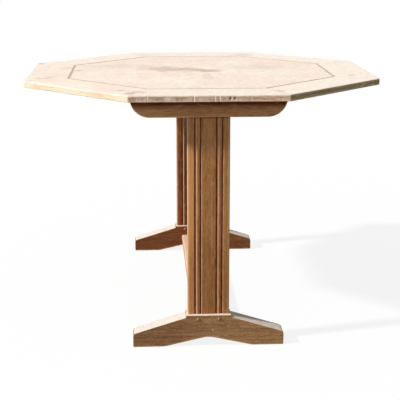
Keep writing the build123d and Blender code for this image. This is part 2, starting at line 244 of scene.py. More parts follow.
def close_up(mesh):
    """Merge points that coincide, turn every face outwards and shade the skin."""
    work = bmesh.new()
    work.from_mesh(mesh)
    bmesh.ops.remove_doubles(work, verts=work.verts, dist=SAME)
    bmesh.ops.recalc_face_normals(work, faces=work.faces)
    work.to_mesh(mesh)
    work.free()
    mesh.shade_smooth()
    mesh.set_sharp_from_angle(angle=SHARP_TURN)


print("edges stay sharp from a turn of", round(math.degrees(SHARP_TURN)), "degrees")

# %% [markdown]
# Then each point learns where it lies in the log its board was sawn from: along the fibres, across
# them and through the thickness. Unwrapping each board onto a flat picture would break the grain at
# every corner. A place in a solid log carries it round, so grain runs the length of every board,
# whichever way the board points, and no two boards show the same figure.

# %% From a skin to a piece of the table
LOG_NEAR = (0.0, -0.03, 0.035)
LOG_FAR = (6.0, 0.03, 0.075)
X_AXIS, Y_AXIS, Z_AXIS = np.eye(3)
log_luck = np.random.default_rng(8)
skins = {}


def lay_grain(mesh, along, across):
    """Store where each point lies in its log, and a tint for the whole board."""
    axes = np.array([along, across, np.cross(along, across)])
    points = np.empty(3 * len(mesh.vertices), np.float32)
    mesh.vertices.foreach_get("co", points)
    places = points.reshape(-1, 3) @ axes.T
    places += log_luck.uniform(LOG_NEAR, LOG_FAR) - (places.min(axis=0) + places.max(axis=0)) / 2
    layer = mesh.attributes.new("grain", "FLOAT_VECTOR", "POINT")
    layer.data.foreach_set("vector", places.astype(np.float32).ravel())
    note(mesh, "tint", log_luck.uniform(0, 1))


def into_scene(name, data):
    """A new object in the scene that shows a mesh, a lamp or a camera."""
    thing = bpy.data.objects.new(name, data)
    bpy.context.scene.collection.objects.link(thing)
    return thing


def stand_for(node, mesh, along, across):
    """Put a new skin in the place of one node of the joinery."""
    close_up(mesh)
    lay_grain(mesh, along, across)
    piece = into_scene(mesh.name, mesh)
    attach(piece, "root")
    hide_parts(node)
    skins[node] = piece


print("grain starts up to", LOG_FAR[0], "m along a log")

# %% [markdown]
# ## The border of the top
#
# Eight boards meet in mitres round the field. Seen from the middle of the table, every outline across
# a border board lies on a ray, so a board is lofted by turning that ray from one mitre to the next.
# The inner edge has a rebate, where the inlay lies. The outer edge follows a polygon with slightly
# rounded corners and takes the hard knocks: its upper arris is chipped, and the front board has a few
# short splits and two small knot holes.

# %% The line of the outer edge
SIDE_NAMES = ["front", "front_right", "right", "rear_right", "rear", "rear_left", "left", "front_left"]
HALF_SIDE = math.pi / len(SIDE_NAMES)
SLANT = math.tan(HALF_SIDE)
CORNER_RADIUS = 0.008
half_side = half_top * SLANT


def rounded_edge(share):
    """How far the outer edge lies from the middle of the table, square to the side."""
    angle = np.arctan(np.abs(share) * SLANT)
    centre = (half_top - CORNER_RADIUS) / math.cos(HALF_SIDE)
    swing = HALF_SIDE - angle
    across = np.clip(CORNER_RADIUS**2 - (centre * np.sin(swing)) ** 2, 0, None)
    on_corner = (centre * np.cos(swing) + np.sqrt(across)) * np.cos(angle)
    return np.where(np.abs(share) * half_top > half_top - CORNER_RADIUS, on_corner, half_top)


print("a side is", round(2 * half_side, 3), "m long")

# %% Stations, splits and knot holes
BORDER_STATIONS = 101
EVEN_SHARE = 0.972
CORNER_SHARES = np.array([0.976, 0.981, 0.985, 0.989, 0.992, 0.995, 0.9975, 0.999, 1.0])
SPLITS = [-0.173, -0.044, 0.013, 0.027]
SPLIT_HALF_WIDTH = 0.0012
SPLIT_DEPTH = 0.0016
KNOT_HOLES = [0.057, 0.0695]
KNOT_RADIUS = 0.0035
KNOT_DEPTH = 0.003
ROUND_A_MARK = np.linspace(-1.5, 1.5, 7) * KNOT_RADIUS


def border_shares(marks):
    """Stations as shares of the way from the middle of a side to its mitres, closer at each mark."""
    close = np.array([mark + step for mark in marks for step in ROUND_A_MARK]) / half_side
    even = np.linspace(-EVEN_SHARE, EVEN_SHARE, BORDER_STATIONS)
    return np.unique(np.concatenate([-CORNER_SHARES, even, close, CORNER_SHARES]))


def press_marks(rings):
    """Push the splits and knot holes of the front board into its outer edge."""
    along, out, up = rings[..., 0], rings[..., 1], rings[..., 2]
    middle = (table_height + top_underside) / 2
    at_edge = np.clip((out - half_top + 2 * CORNER_RADIUS) / CORNER_RADIUS, 0, 1)
    depth = np.zeros(along.shape)
    for split in SPLITS:
        depth += SPLIT_DEPTH * np.exp(-(((along - split) / SPLIT_HALF_WIDTH) ** 2))
    for hole in KNOT_HOLES:
        distance = ((along - hole) ** 2 + (up - middle) ** 2) / KNOT_RADIUS**2
        depth += KNOT_DEPTH * np.exp(-(distance**2))
    rings[..., 1] = out - depth * at_edge


print("front edge:", len(SPLITS), "splits and", len(KNOT_HOLES), "knot holes")

# %% Loft the border boards
MITRE_GAP = 0.00008
MITRE_FADE = 0.0025
EDGE_KNOCKS = [(0.0012, 0.0035, 10.0), (0.0014, 0.0046, 20.0)]
BORDER_STEPS = [14, 8, 14, 2, 2, 2]
BORDER_LEAN = [0, 1, 1, 0, -1, 0]


def make_border(index, name):
    """One border board, with its own wear, turned to its side of the table."""
    share = border_shares(SPLITS + KNOT_HOLES if name == "front" else [])
    inset = np.where(np.abs(share) == 1, SMALL_ARRIS, 0)
    inner, wall, outer = half_field + inset, half_field + inlay_width, rounded_edge(share) - inset
    low, high, shelf = top_underside + inset, table_height - inset, inlay_low.z
    outline = [(inner, low), (outer, low), (outer, high), (wall, high), (wall, shelf), (inner, shelf)]
    reach = corner_wear(share * half_side, index, SMALL_ARRIS, *EDGE_KNOCKS, *[SMALL_ARRIS] * 3)
    corners = at_stations(len(share), outline)
    outline, exposed, sheltered = soften(corners, reach, BORDER_STEPS, BORDER_LEAN)
    from_mitre = (1 - np.abs(share))[:, None] * outline[..., 0] * SLANT
    sheltered = np.maximum(sheltered, np.exp(-from_mitre / MITRE_FADE))
    rings = lay_along(0, share[:, None] * (outline[..., 0] * SLANT - MITRE_GAP), outline)
    if name == "front":
        press_marks(rings)
    turn = 2 * HALF_SIDE * index
    along = np.array([math.cos(turn), math.sin(turn), 0])
    outward = np.array([math.sin(turn), -math.cos(turn), 0])
    placed = rings @ np.array([along, outward, Z_AXIS])
    mesh = skin(f"worn_border_{name}", placed, exposed, sheltered)
    stand_for(f"border_{name}", mesh, along, outward)


for index, name in enumerate(SIDE_NAMES):
    make_border(index, name)
print("border:", sum(len(piece.data.vertices) for piece in skins.values()), "points")

# %% [markdown]
# How much old brown finish and painted shade the outer edge takes differs from side to side. The number
# grows towards the right, so the edges that face away from the lamp on the left are painted browner and
# darker, as if in shade, and the front left edge, which faces the lamp, stays palest. Part of it is old
# finish: some edges were scraped clean, others hardly touched. One number for each board, stored on
# all its points, lets a single finish serve the whole border.

# %% Note the old finish and painted shade on each edge
OLD_FINISH_AND_SHADE = [0.30, 1.0, 0.8, 0.55, 0.4, 0.25, 0.1, 0.0]
for name, left in zip(SIDE_NAMES, OLD_FINISH_AND_SHADE):
    note(skins[f"border_{name}"].data, "old_finish_and_shade", left)
print("old finish:", dict(zip(SIDE_NAMES, OLD_FINISH_AND_SHADE)))

# %% [markdown]
# ## The field of the top
#
# Six boards fill the octagon inside the border, side by side. Each one is lofted along its length, and
# its ends follow the slanting sides of the octagon. The seams have a tiny arris that counts as
# sheltered, so that dirt will draw them faintly, and each board lies a hair lower or higher than the
# next, as glued boards do after years of damp and dry.

# %% Loft the field boards
FIELD_BOARDS = 6
FIELD_STATIONS = 121
FIELD_LIPS = [0.00012, 0.0, 0.00018, 0.00005, 0.00015, 0.00002]
LAST_SHARE = 0.999
FACE_STEPS, KINK_STEPS, SEAM_STEPS = 10, 6, 4
board_width = 2 * half_field / FIELD_BOARDS
kink = half_field * SLANT


def field_end(y):
    """How far the octagon of the field reaches to either side at this distance along Y."""
    return np.minimum(half_field, half_field + kink - np.abs(y))


def make_field_board(index):
    """One board of the field, counted from the front."""
    node = f"field_board_{index + 1}"
    near = index * board_width - half_field
    kinks = [y for y in (-kink, kink) if near < y < near + board_width]
    between = [0] * len(kinks)
    share = np.concatenate([[-1.0], np.linspace(-LAST_SHARE, LAST_SHARE, FIELD_STATIONS), [1.0]])
    inset = np.where(np.abs(share) == 1, SMALL_ARRIS, 0)
    ys = np.array([near, *kinks, near + board_width]) + inset[:, None] * np.array([1, *between, -1])
    low, high = top_underside + inset, table_height - FIELD_LIPS[index] - inset
    outline = [(y, low) for y in ys.T] + [(y, high) for y in ys.T[::-1]]
    reach = corner_wear(share, index, *[SMALL_ARRIS] * len(outline))
    steps = [KINK_STEPS if kinks else FACE_STEPS] * (len(kinks) + 1) + [SEAM_STEPS]
    lean = [-1, *between, -1]
    outline, exposed, sheltered = soften(at_stations(len(share), outline), reach, steps * 2, lean * 2)
    rings = lay_along(0, share[:, None] * field_end(outline[..., 0]), outline)
    mesh = skin(f"worn_{node}", rings, exposed, sheltered)
    stand_for(node, mesh, X_AXIS, Y_AXIS)


for index in range(FIELD_BOARDS):
    make_field_board(index)
print("field:", FIELD_BOARDS, "boards, each", round(board_width * 1000), "mm wide")

# %% [markdown]
# ## Bearers and rails
#
# A bearer is a plain cross-piece whose underside sweeps up to its ends, and a rail is a plain bar.
# Both are drilled from below for the screws that hold the top. A boolean cuts those holes: they are
# few, round and away from the worn edges, which is where a boolean works best.

# %% Drill holes into a mesh
BORE_RADIUS = 0.005
BORE_SIDES = 28
SCREW_GRIP = 0.018
DRILL_MARGIN = 0.01


def drill(mesh, places, start):
    """Cut a bore up from below at each place, as deep as the seat of the screw."""
    seat = top_underside - SCREW_GRIP
    shape = {"segments": BORE_SIDES, "radius1": BORE_RADIUS, "radius2": BORE_RADIUS}
    drills = bmesh.new()
    for x, y in places:
        bit = bmesh.ops.create_cone(drills, cap_ends=True, depth=seat - start + DRILL_MARGIN, **shape)
        bmesh.ops.translate(drills, verts=bit["verts"], vec=(x, y, (seat + start - DRILL_MARGIN) / 2))
    bits = bpy.data.meshes.new("drill_bits")
    drills.to_mesh(bits)
    drills.free()
    board, cutter = into_scene("board_to_drill", mesh), into_scene("drill_bits", bits)
    cut = board.modifiers.new("bores", "BOOLEAN")
    cut.operation = "DIFFERENCE"
    cut.solver = "EXACT"
    cut.object = cutter
    ready = board.evaluated_get(bpy.context.evaluated_depsgraph_get())
    drilled = bpy.data.meshes.new_from_object(ready)
    name = mesh.name
    for helper, spent in ((board, mesh), (cutter, bits)):
        bpy.data.objects.remove(helper)
        bpy.data.meshes.remove(spent)
    drilled.name = name
    return drilled


print("bores are", round(2000 * BORE_RADIUS), "mm across")

# %% Loft the bearers
BEARER_END_CURVE = 0.055
BEARER_SCREWS = [-0.15, -0.075, 0.075, 0.15]
BEARER_STATIONS = 81
BEARER_RUBS = [(0.0015, 0.0035, 30.0), (0.0015, 0.0035, 33.0)]
BEARER_STEPS = [10, 12, 6, 12]
BEARER_LEAN = [0.25, 0.25, -1, -1]
CURVE_STATIONS = 18
CURVE_SHARE = 0.998
TOP_SHADE = 0.85
TOP_SHADE_FADE = 0.018
TRESTLES = {"front": -1, "rear": 1}


def bearer_stations():
    """Places along a bearer and the height of its underside, which rises on an arc at each end."""
    height = bearer_high.z - bearer_low.z
    flat = bearer_high.x - BEARER_END_CURVE
    radius = (BEARER_END_CURVE**2 + height**2) / (2 * height)
    swing = np.linspace(0, math.asin(BEARER_END_CURVE / radius) * CURVE_SHARE, CURVE_STATIONS)[1:]
    level = np.linspace(-flat, flat, BEARER_STATIONS)
    out = flat + radius * np.sin(swing)
    rise = bearer_low.z + radius * (1 - np.cos(swing))
    places = np.concatenate([-out[::-1], level, out])
    return places, np.concatenate([rise[::-1], np.full(len(level), bearer_low.z), rise])


def make_bearer(name, side):
    """The cross-piece under one end of the top."""
    places, low = bearer_stations()
    middle = side * trestle_middle
    reach = corner_wear(places, side, *BEARER_RUBS, SMALL_ARRIS, SMALL_ARRIS)
    faces = (middle - trestle_half, middle + trestle_half, low, top_underside)
    outline, exposed, sheltered = bar(*faces, reach, BEARER_STEPS, BEARER_LEAN)
    # Painted shade: the top of the bearer, under the overhang of the top, is darkened with the groove tone.
    below_top = top_underside - outline[..., 1]
    sheltered = np.maximum(sheltered, TOP_SHADE * np.exp(-below_top / TOP_SHADE_FADE))
    mesh = skin(f"worn_bearer_{name}", lay_along(0, places[:, None], outline), exposed, sheltered)
    close_up(mesh)
    mesh = drill(mesh, [(x, middle) for x in BEARER_SCREWS], bearer_low.z)
    stand_for(f"bearer_{name}", mesh, X_AXIS, Z_AXIS)


for name, side in TRESTLES.items():
    make_bearer(name, side)
print("bearer:", len(skins["bearer_front"].data.vertices), "points")

# %% Loft the rails under the field
RAIL_STATIONS = 90
RAIL_RUBS = [(0.002, 0.004, 36.0), (0.002, 0.004, 38.0)]
RAIL_STEPS = [8, 8, 4, 8]


def make_rail(name, side):
    """A rough rail from bearer to bearer, drilled once under each field board."""
    left, right = sorted((side * rail_low.x, side * rail_high.x))
    places = np.linspace(-inner_face, inner_face, RAIL_STATIONS)
    reach = corner_wear(places, side, *RAIL_RUBS, SMALL_ARRIS, SMALL_ARRIS)
    outline, exposed, sheltered = bar(left, right, rail_low.z, rail_high.z, reach, RAIL_STEPS)
    mesh = skin(f"rough_top_rail_{name}", lay_along(1, places[:, None], outline), exposed, sheltered)
    close_up(mesh)
    rows = [(index + 0.5) * board_width - half_field for index in range(FIELD_BOARDS)]
    mesh = drill(mesh, [((left + right) / 2, y) for y in rows], rail_low.z)
    stand_for(f"top_rail_{name}", mesh, Y_AXIS, Z_AXIS)


for name, side in {"left": -1, "right": 1}.items():
    make_rail(name, side)
print("rails:", len(skins["top_rail_left"].data.vertices), "points each")

# %% [markdown]
# ## The moulded columns
#
# Each column is a thin upright with the same moulding on both faces: a flat panel in the middle, then
# a groove, a reed between two narrow fillets, a groove and a flat band at the edge. The outline holds
# the whole moulding, and the loft carries it from foot to bearer. Arrises are exposed and grooves are
# sheltered, so the finish finds where to lay pale lines and dark lines. The dark lines are stain in
# part and painted shade in part: the walls of the grooves are darkened far up, and the reeds only at
# their foot.

# %% The moulding of a column
PANEL_EDGE = 0.020
GROOVE_WALL = 0.0025
FILLET = 0.0012
REED_WIDTH = 0.0146
GROOVE_DEPTH = 0.0045
REED_SHARES = [0.05, 0.15, 0.32, 0.5, 0.68, 0.85, 0.95]
REED_WEAR = 0.12
PANEL_WEAR = 0.15
REED_ROUND = 0.003
ARRIS_ROUND = 0.0008
GROOVE_ROUND = 0.0005
EDGE_ROUND = 0.0025


def moulding():
    """Half of one face, from the edge of the panel out: place, depth, lean and rounding."""
    inner = PANEL_EDGE + GROOVE_WALL + FILLET
    outer = inner + REED_WIDTH
    radius = (REED_WIDTH**2 / 4 + GROOVE_DEPTH**2) / (2 * GROOVE_DEPTH)
    groove = (GROOVE_DEPTH, -1, GROOVE_ROUND)
    arris = (0, PANEL_WEAR, ARRIS_ROUND)
    reed = []
    for share in REED_SHARES:
        depth = radius - math.sqrt(radius**2 - ((share - 0.5) * REED_WIDTH) ** 2)
        reed.append((inner + share * REED_WIDTH, depth, REED_WEAR, REED_ROUND))
    return [
        (PANEL_EDGE, *arris),
        (inner - FILLET, *groove),
        (inner, *groove),
        *reed,
        (outer, *groove),
        (outer + FILLET, *groove),
        (outer + FILLET + GROOVE_WALL, *arris),
        (column_high.x, 0, 1, EDGE_ROUND),
    ]


print("moulding:", len(moulding()), "points from the panel to the edge")

# %% Loft the columns
COLUMN_STATIONS = 91
COLUMN_SHADE = 0.6
COLUMN_SHADE_FADE = 0.005
COLUMN_WEAR = 1.7
COLUMN_SEED = 50.0
SEED_STEP = 3.1
PANEL_STEPS, EDGE_STEPS, MOULDING_STEPS = 8, 5, 3
# How far painted shade and dirt reach out of a groove: far up its wall, only a little onto the reed.
WALL_SHADE_AND_DIRT = 0.006
REED_SHADE_AND_DIRT = 0.0014


def make_column(name, side):
    """The upright of one trestle."""
    half = moulding()
    face = [(-x, *rest) for x, *rest in half[::-1]] + half
    thick = (column_high.y - column_low.y) / 2
    middle = side * trestle_middle
    whole = [(x, middle - thick + depth, *rest) for x, depth, *rest in face]
    whole += [(x, middle + thick - depth, *rest) for x, depth, *rest in face[::-1]]
    places = np.linspace(foot_high.z, bearer_low.z, COLUMN_STATIONS)
    corners = at_stations(COLUMN_STATIONS, [point[:2] for point in whole])
    sizes = [
        (size, COLUMN_WEAR * size, COLUMN_SEED + SEED_STEP * number) if lean >= PANEL_WEAR else size
        for number, (x, y, lean, size) in enumerate(whole)
    ]
    widths = np.abs(np.diff([point[0] for point in whole + whole[:1]]))
    steps = np.where(widths > 2 * PANEL_EDGE - SAME, PANEL_STEPS, MOULDING_STEPS)
    steps = np.where(widths < SAME, EDGE_STEPS, steps)
    shade_and_dirt_fade = [WALL_SHADE_AND_DIRT if abs(width - GROOVE_WALL) < SAME else REED_SHADE_AND_DIRT for width in widths]
    lean = [point[2] for point in whole]
    reach = corner_wear(places, side, *sizes)
    outline, exposed, sheltered = soften(corners, reach, steps, lean, shade_and_dirt_fade)
    # Painted shade: the top of the column, just under the bearer, is darkened.
    under_bearer = np.exp((places - bearer_low.z) / COLUMN_SHADE_FADE)
    sheltered = np.maximum(sheltered, COLUMN_SHADE * under_bearer[:, None])
    mesh = skin(f"worn_column_{name}", lay_along(2, places[:, None], outline), exposed, sheltered)
    stand_for(f"column_{name}", mesh, Z_AXIS, X_AXIS)


for name, side in TRESTLES.items():
    make_column(name, side)
print("column:", len(skins["column_front"].data.vertices), "points, both faces moulded")

# %% [markdown]
# ## The feet
#
# A foot is a beam with a ledge for the column, two arms that slope to round tips, and an arch below, so
# that it stands on two pads. Both lines are drawn as a few straight runs whose corners are eased by a
# curve. The loft then reads the two lines at each station.

# %% The lines of a foot
LEDGE_HALF = 0.066
LEDGE_STEP = 0.006
LEDGE_EASE = 0.0012
STEP_RUN = 0.0008
TIP_HEIGHT = 0.041
TIP_EASE = 0.009
ARCH_HALF = 0.130
ARCH_PEAK = 0.0295
CROWN_EASE = 0.0187
SPRING_EASE = 0.0067
EASE_STEPS = 12


def eased(points, eases):
    """An open line through the points, with each inner corner eased by a curve."""
    points = np.array(points, float)
    line = [points[0]]
    for last, corner, onward, ease in zip(points, points[1:], points[2:], eases):
        start = corner + (last - corner) / np.linalg.norm(last - corner) * ease
        end = corner + (onward - corner) / np.linalg.norm(onward - corner) * ease
        line += [bend(start, corner, end, s) for s in np.linspace(0, 1, EASE_STEPS + 1)]
    return np.array([*line, points[-1]])


def foot_lines(places):
    """The top line and the underside of a foot at places along it."""
    tip, ledge = foot_high.x, foot_high.z
    slope = [(LEDGE_HALF + STEP_RUN, ledge - LEDGE_STEP), (tip, TIP_HEIGHT)]
    below_tip = (tip + STEP_RUN / 4, TIP_HEIGHT - 2 * TIP_EASE)
    upper = [(0, ledge), (LEDGE_HALF, ledge), *slope, below_tip]
    lower = [(-ARCH_HALF, 0), (0, ARCH_PEAK), (ARCH_HALF, 0), (tip, 0)]
    upper = eased(upper, [LEDGE_EASE, LEDGE_EASE, TIP_EASE])
    lower = eased(lower, [CROWN_EASE, SPRING_EASE])
    return [np.interp(np.abs(places), line[:, 0], line[:, 1]) for line in (upper, lower)]


print("the arch is", round(1000 * ARCH_PEAK, 1), "mm high before its crown is eased")

# %% Loft the feet
FOOT_END_ARRIS = 0.0022
FOOT_STATIONS = 70
TIP_STATIONS = 8
END_STATIONS = 5
FOOT_RUBS = [(0.0016, 0.0042, 70.0), (0.0016, 0.0042, 72.3), (0.0009, 0.0022, 74.6), (0.0009, 0.0022, 76.9)]
FOOT_STEPS = [10, 14, 10, 14]
FOOT_LEAN = [1, 1, 0.2, 0.2]
STEP_PLACES = np.array([-0.0016, -0.0010, -0.0005, 0, 0.0003, 0.0006, 0.0010, 0.0016, 0.0024])


def foot_stations():
    """Places along a foot, close together at the ledge's step and at the round tips, with an inset."""
    tip = foot_high.x
    even = np.linspace(0, tip - TIP_EASE, FOOT_STATIONS)
    swing = np.linspace(0, math.pi / 2, END_STATIONS)
    end = tip - FOOT_END_ARRIS + FOOT_END_ARRIS * np.sin(swing)
    curve = np.linspace(tip - TIP_EASE, end[0], TIP_STATIONS)[1:-1]
    half = np.unique(np.concatenate([even, LEDGE_HALF + STEP_PLACES, curve]))
    places = np.concatenate([half, end])
    inset = np.concatenate([np.zeros(len(half)), FOOT_END_ARRIS * (1 - np.cos(swing))])
    return np.concatenate([-places[:0:-1], places]), np.concatenate([inset[:0:-1], inset])


def make_foot(name, side):
    """The arched foot of one trestle."""
    places, inset = foot_stations()
    high, low = foot_lines(places)
    middle = side * trestle_middle
    sides = (middle - trestle_half + inset, middle + trestle_half - inset)
    reach = corner_wear(places, side, *FOOT_RUBS)
    outline, exposed, sheltered = bar(*sides, low + inset, high - inset, reach, FOOT_STEPS, FOOT_LEAN)
    mesh = skin(f"worn_foot_{name}", lay_along(0, places[:, None], outline), exposed, sheltered)
    stand_for(f"foot_{name}", mesh, X_AXIS, Z_AXIS)


for name, side in TRESTLES.items():
    make_foot(name, side)
print("foot:", len(skins["foot_front"].data.vertices), "points")

# %% [markdown]
# ## The stretcher and the pegs
#
# The stretcher is a flat board with well-rounded edges, rubbed by shoes. The pegs that pin the column
# tenons were whittled with a knife: their ends are domed, and their sides have flats of uneven width.

# %% Loft the stretcher
STRETCHER_STATIONS = 111
STRETCHER_RUBS = [(0.008, 0.0088, 80.0 + corner) for corner in range(4)]
STRETCHER_STEPS = [14, 3, 14, 3]
places = np.linspace(-inner_face, inner_face, STRETCHER_STATIONS)
reach = corner_wear(places, 0, *STRETCHER_RUBS)
faces = (stretcher_low.x, stretcher_high.x, stretcher_low.z, stretcher_high.z)
outline, exposed, sheltered = bar(*faces, reach, STRETCHER_STEPS)
mesh = skin("worn_stretcher", lay_along(1, places[:, None], outline), exposed, sheltered)
stand_for("stretcher", mesh, Y_AXIS, X_AXIS)
print("stretcher:", round(2 * inner_face, 3), "m between the feet")

# %% Whittle the pegs
PEG_RADIUS = 0.0055
PEG_SPACING = 0.062
PEG_SIDES = 28
PEG_FLATS = 7
PEG_TWIST = 1.3
FLAT_DEPTH = 0.05
PEG_DOME = [(0.0, 0.10), (0.0005, 0.34), (0.0012, 0.58), (0.0021, 0.8), (0.0031, 0.95), (0.0045, 1.0)]
PEG_PLACES = (-PEG_SPACING / 2, PEG_SPACING / 2)


def make_pegs(name, side):
    """Both pegs of one foot in one mesh."""
    half_length = (peg_high.y - peg_low.y) / 2
    depths, widths = np.array(PEG_DOME).T
    depths = np.concatenate([depths - half_length, half_length - depths[::-1]])
    widths = np.concatenate([widths, widths[::-1]])[:, None]
    swing = np.linspace(0, 2 * math.pi, PEG_SIDES, endpoint=False)
    both = bmesh.new()
    for number, x in enumerate(PEG_PLACES):
        turn = swing * PEG_FLATS / 2 + PEG_TWIST * number + side
        radius = PEG_RADIUS * (1 - FLAT_DEPTH * np.abs(np.cos(turn)))
        out = x + widths * radius * np.cos(swing)
        up = peg_low.z + PEG_RADIUS + widths * radius * np.sin(swing)
        rings = lay_along(1, side * trestle_middle + depths[:, None], np.stack([out, up], axis=2))
        exposed = np.broadcast_to(1 - widths, out.shape)
        peg = skin("peg", rings, exposed, 0.0)
        both.from_mesh(peg)
        bpy.data.meshes.remove(peg)
    mesh = bpy.data.meshes.new(f"whittled_pegs_{name}")
    both.to_mesh(mesh)
    both.free()
    stand_for(f"foot_pegs_{name}", mesh, Y_AXIS, X_AXIS)


for name, side in TRESTLES.items():
    make_pegs(name, side)
print("skins:", len(skins), "with", sum(len(piece.data.vertices) for piece in skins.values()), "points")

# %% [markdown]
# ## Shader helpers
#
# A finish is a tree of nodes. A mask is one output in that tree, a number, vector or colour that
# differs from point to point. Nodes could be placed and linked one by one, but here masks add and
# multiply as numbers do, and each step leaves one node behind, so the cells below read like a recipe.
# Colours are written as they look on a screen, from 0 to 255, and turned into the linear light that a
# shader works in.

# %% Masks
class Mask:
    """One output in a tree of nodes, with the steps that lead on from it."""

    def __init__(self, socket):
        self.socket = socket
        self.tree = socket.id_data

    def step(self, operation, other=0.0):
        """One step of arithmetic."""
        return add(self.tree, "ShaderNodeMath", {0: self, 1: other}, operation=operation)[0]

    def __add__(self, other):
        return self.step("ADD", other)

    def __sub__(self, other):
        return self.step("SUBTRACT", other)

    def __mul__(self, other):
        return self.step("MULTIPLY", other)

    def __truediv__(self, other):
        return self.step("DIVIDE", other)

    def most(self, other):
        """The larger of two masks."""
        return self.step("MAXIMUM", other)

    def ramp(self, low, high, start=0.0, end=1.0):
        """A smooth climb from start to end as the mask goes from low to high."""
        limits = {"Value": self, "From Min": low, "From Max": high, "To Min": start, "To Max": end}
        return add(self.tree, "ShaderNodeMapRange", limits, interpolation_type="SMOOTHSTEP")[0]

    def vector_step(self, operation, *others):
        """One step of arithmetic with vectors."""
        inputs = dict(enumerate((self, *others)))
        return add(self.tree, "ShaderNodeVectorMath", inputs, operation=operation)

    def split(self):
        """The X, Y and Z of a vector."""
        return add(self.tree, "ShaderNodeSeparateXYZ", {0: self})

    def cloud(self, stretch, detail=2.0):
        """Noise around a half, with its own scale along each axis, in waves per metre."""
        scaled = self.vector_step("MULTIPLY", stretch)[0]
        return add(self.tree, "ShaderNodeTexNoise", {"Vector": scaled, "Scale": 1.0, "Detail": detail})[0]


print("masks take the steps", [name for name in vars(Mask) if not name.startswith("_")])

# %% Nodes and colours
def fill(node, inputs):
    """Set the inputs of a node, or link them where a mask is given."""
    for name, value in inputs.items():
        if isinstance(value, Mask):
            node.id_data.links.new(value.socket, node.inputs[name])
        else:
            node.inputs[name].default_value = value


def add(tree, kind, inputs, **settings):
    """Add a node, and give back its outputs as masks, by number and by name."""
    node = tree.nodes.new(kind)
    for name, value in settings.items():
        setattr(node, name, value)
    fill(node, inputs)
    masks = [Mask(socket) for socket in node.outputs]
    return {**dict(enumerate(masks)), **{mask.socket.name: mask for mask in masks}}


def tree_of(*parts):
    """The tree that some of these parts belong to."""
    return next(part.tree for part in parts if isinstance(part, Mask))


def tone(red, green, blue):
    """A colour as it looks on a screen, as linear light."""
    parts = [value / 255 for value in (red, green, blue)]
    return (*[p / 12.92 if p <= 0.04045 else ((p + 0.055) / 1.055) ** 2.4 for p in parts], 1.0)


def paint(share, under, over):
    """Lay one colour over another."""
    tree = tree_of(share, under, over)
    return add(tree, "ShaderNodeMix", {0: share, 6: under, 7: over}, data_type="RGBA")[2]


def coats(colour, *layers):
    """Lay several colours over one, each with its share."""
    for share, over in layers:
        colour = paint(share, colour, over)
    return colour


print("mid grey on screen is", round(tone(128, 128, 128)[0], 3), "in linear light")

# %% [markdown]
# A node group is a small tree with named inputs and outputs. It is built once and placed in many
# finishes, each time with its own values. The nodes could be copied into every finish, but then a
# change to the grain would have to be made in each copy. The shader stays in the finish itself: a
# group only gives colours, numbers and masks.

# %% Groups
NUMBER, VECTOR, COLOUR = "NodeSocketFloat", "NodeSocketVector", "NodeSocketColor"
NOWHERE = (0.0, 0.0, 0.0)


def new_group(name, inputs):
    """An empty node group with named inputs and the values that they have when nothing is linked."""
    group = bpy.data.node_groups.new(name, "ShaderNodeTree")
    for label, value in inputs.items():
        kind = VECTOR if np.ndim(value) else NUMBER
        group.interface.new_socket(label, in_out="INPUT", socket_type=kind).default_value = value
    return group, add(group, "NodeGroupInput", {})


def close_group(group, results):
    """Give a group its named outputs."""
    for label in results:
        kind = COLOUR if label == "Color" else NUMBER
        group.interface.new_socket(label, in_out="OUTPUT", socket_type=kind)
    add(group, "NodeGroupOutput", results)
    print(group.name, "gives", list(results), "from", len(group.nodes), "nodes")


def use(group, inputs):
    """Place a node group beside the masks that feed it, and give back its outputs."""
    return add(tree_of(*inputs.values()), "ShaderNodeGroup", inputs, node_tree=group)


print("groups carry", NUMBER, VECTOR, COLOUR)

# %% [markdown]
# ## Effects that several finishes share
#
# Oak has growth rings, straight fibres, long open pores and pale flecks. One group makes all four as
# masks from a point's place in the log. Rings are distances from the pith, bent by slow noise so that a
# sawn face shows arches and not ruled lines. The rest is noise pulled out along the fibres.

# %% The figure of oak
oak_figure, given = new_group("Oak Figure", {"Grain": NOWHERE, "Ring Spacing": 0.004, "Wander": 0.012})
grain = given["Grain"]
spot = grain.split()
sway = (grain.cloud((1.6, 9.0, 9.0)) - 0.5) * given["Wander"]
across, deep = spot["Y"] + sway, spot["Z"] + sway
from_pith = (across * across + deep * deep).step("SQRT")
turn = (from_pith / given["Ring Spacing"]).step("FRACT")
rings = turn.ramp(0.75, 0.1) * turn.ramp(0.0, 0.08)
fibres = grain.cloud((5.0, 190.0, 190.0), 3.0) * 0.65 + grain.cloud((14.0, 1100.0, 1100.0)) * 0.35
pores = grain.cloud((45.0, 1300.0, 1300.0), 1.0).ramp(0.56, 0.68) * rings.ramp(0.0, 0.8, 0.35, 1.0)
flecks = grain.cloud((120.0, 620.0, 620.0)).ramp(0.53, 0.68)
close_group(oak_figure, {"Rings": rings, "Fibres": fibres, "Pores": pores, "Flecks": flecks})

# %% [markdown]
# Four more effects: a rubbed arris breaks up the exposed notes with noise, blotches are plain patches
# of noise, a stain is a ragged oval at a chosen place on the table, and dirt gathers on either side of
# the inlay, found by its distance from the middle of the octagon.

# %% Rubbed arris and blotches
rubbed_arris, given = new_group("Rubbed Arris", {"Exposed": 0.0, "Grain": NOWHERE, "Amount": 1.0})
edge = given["Grain"].cloud((40.0, 160.0, 160.0), 3.0) * 0.9 + given["Exposed"] * given["Amount"]
close_group(rubbed_arris, {"Mask": edge.ramp(0.45, 0.85)})

inputs = {"Place": NOWHERE, "Stretch": (6.0, 6.0, 6.0), "Low": 0.45, "High": 0.65}
blotches, given = new_group("Blotches", inputs)
patches = given["Place"].cloud(given["Stretch"], 4.0)
close_group(blotches, {"Mask": patches.ramp(given["Low"], given["High"])})


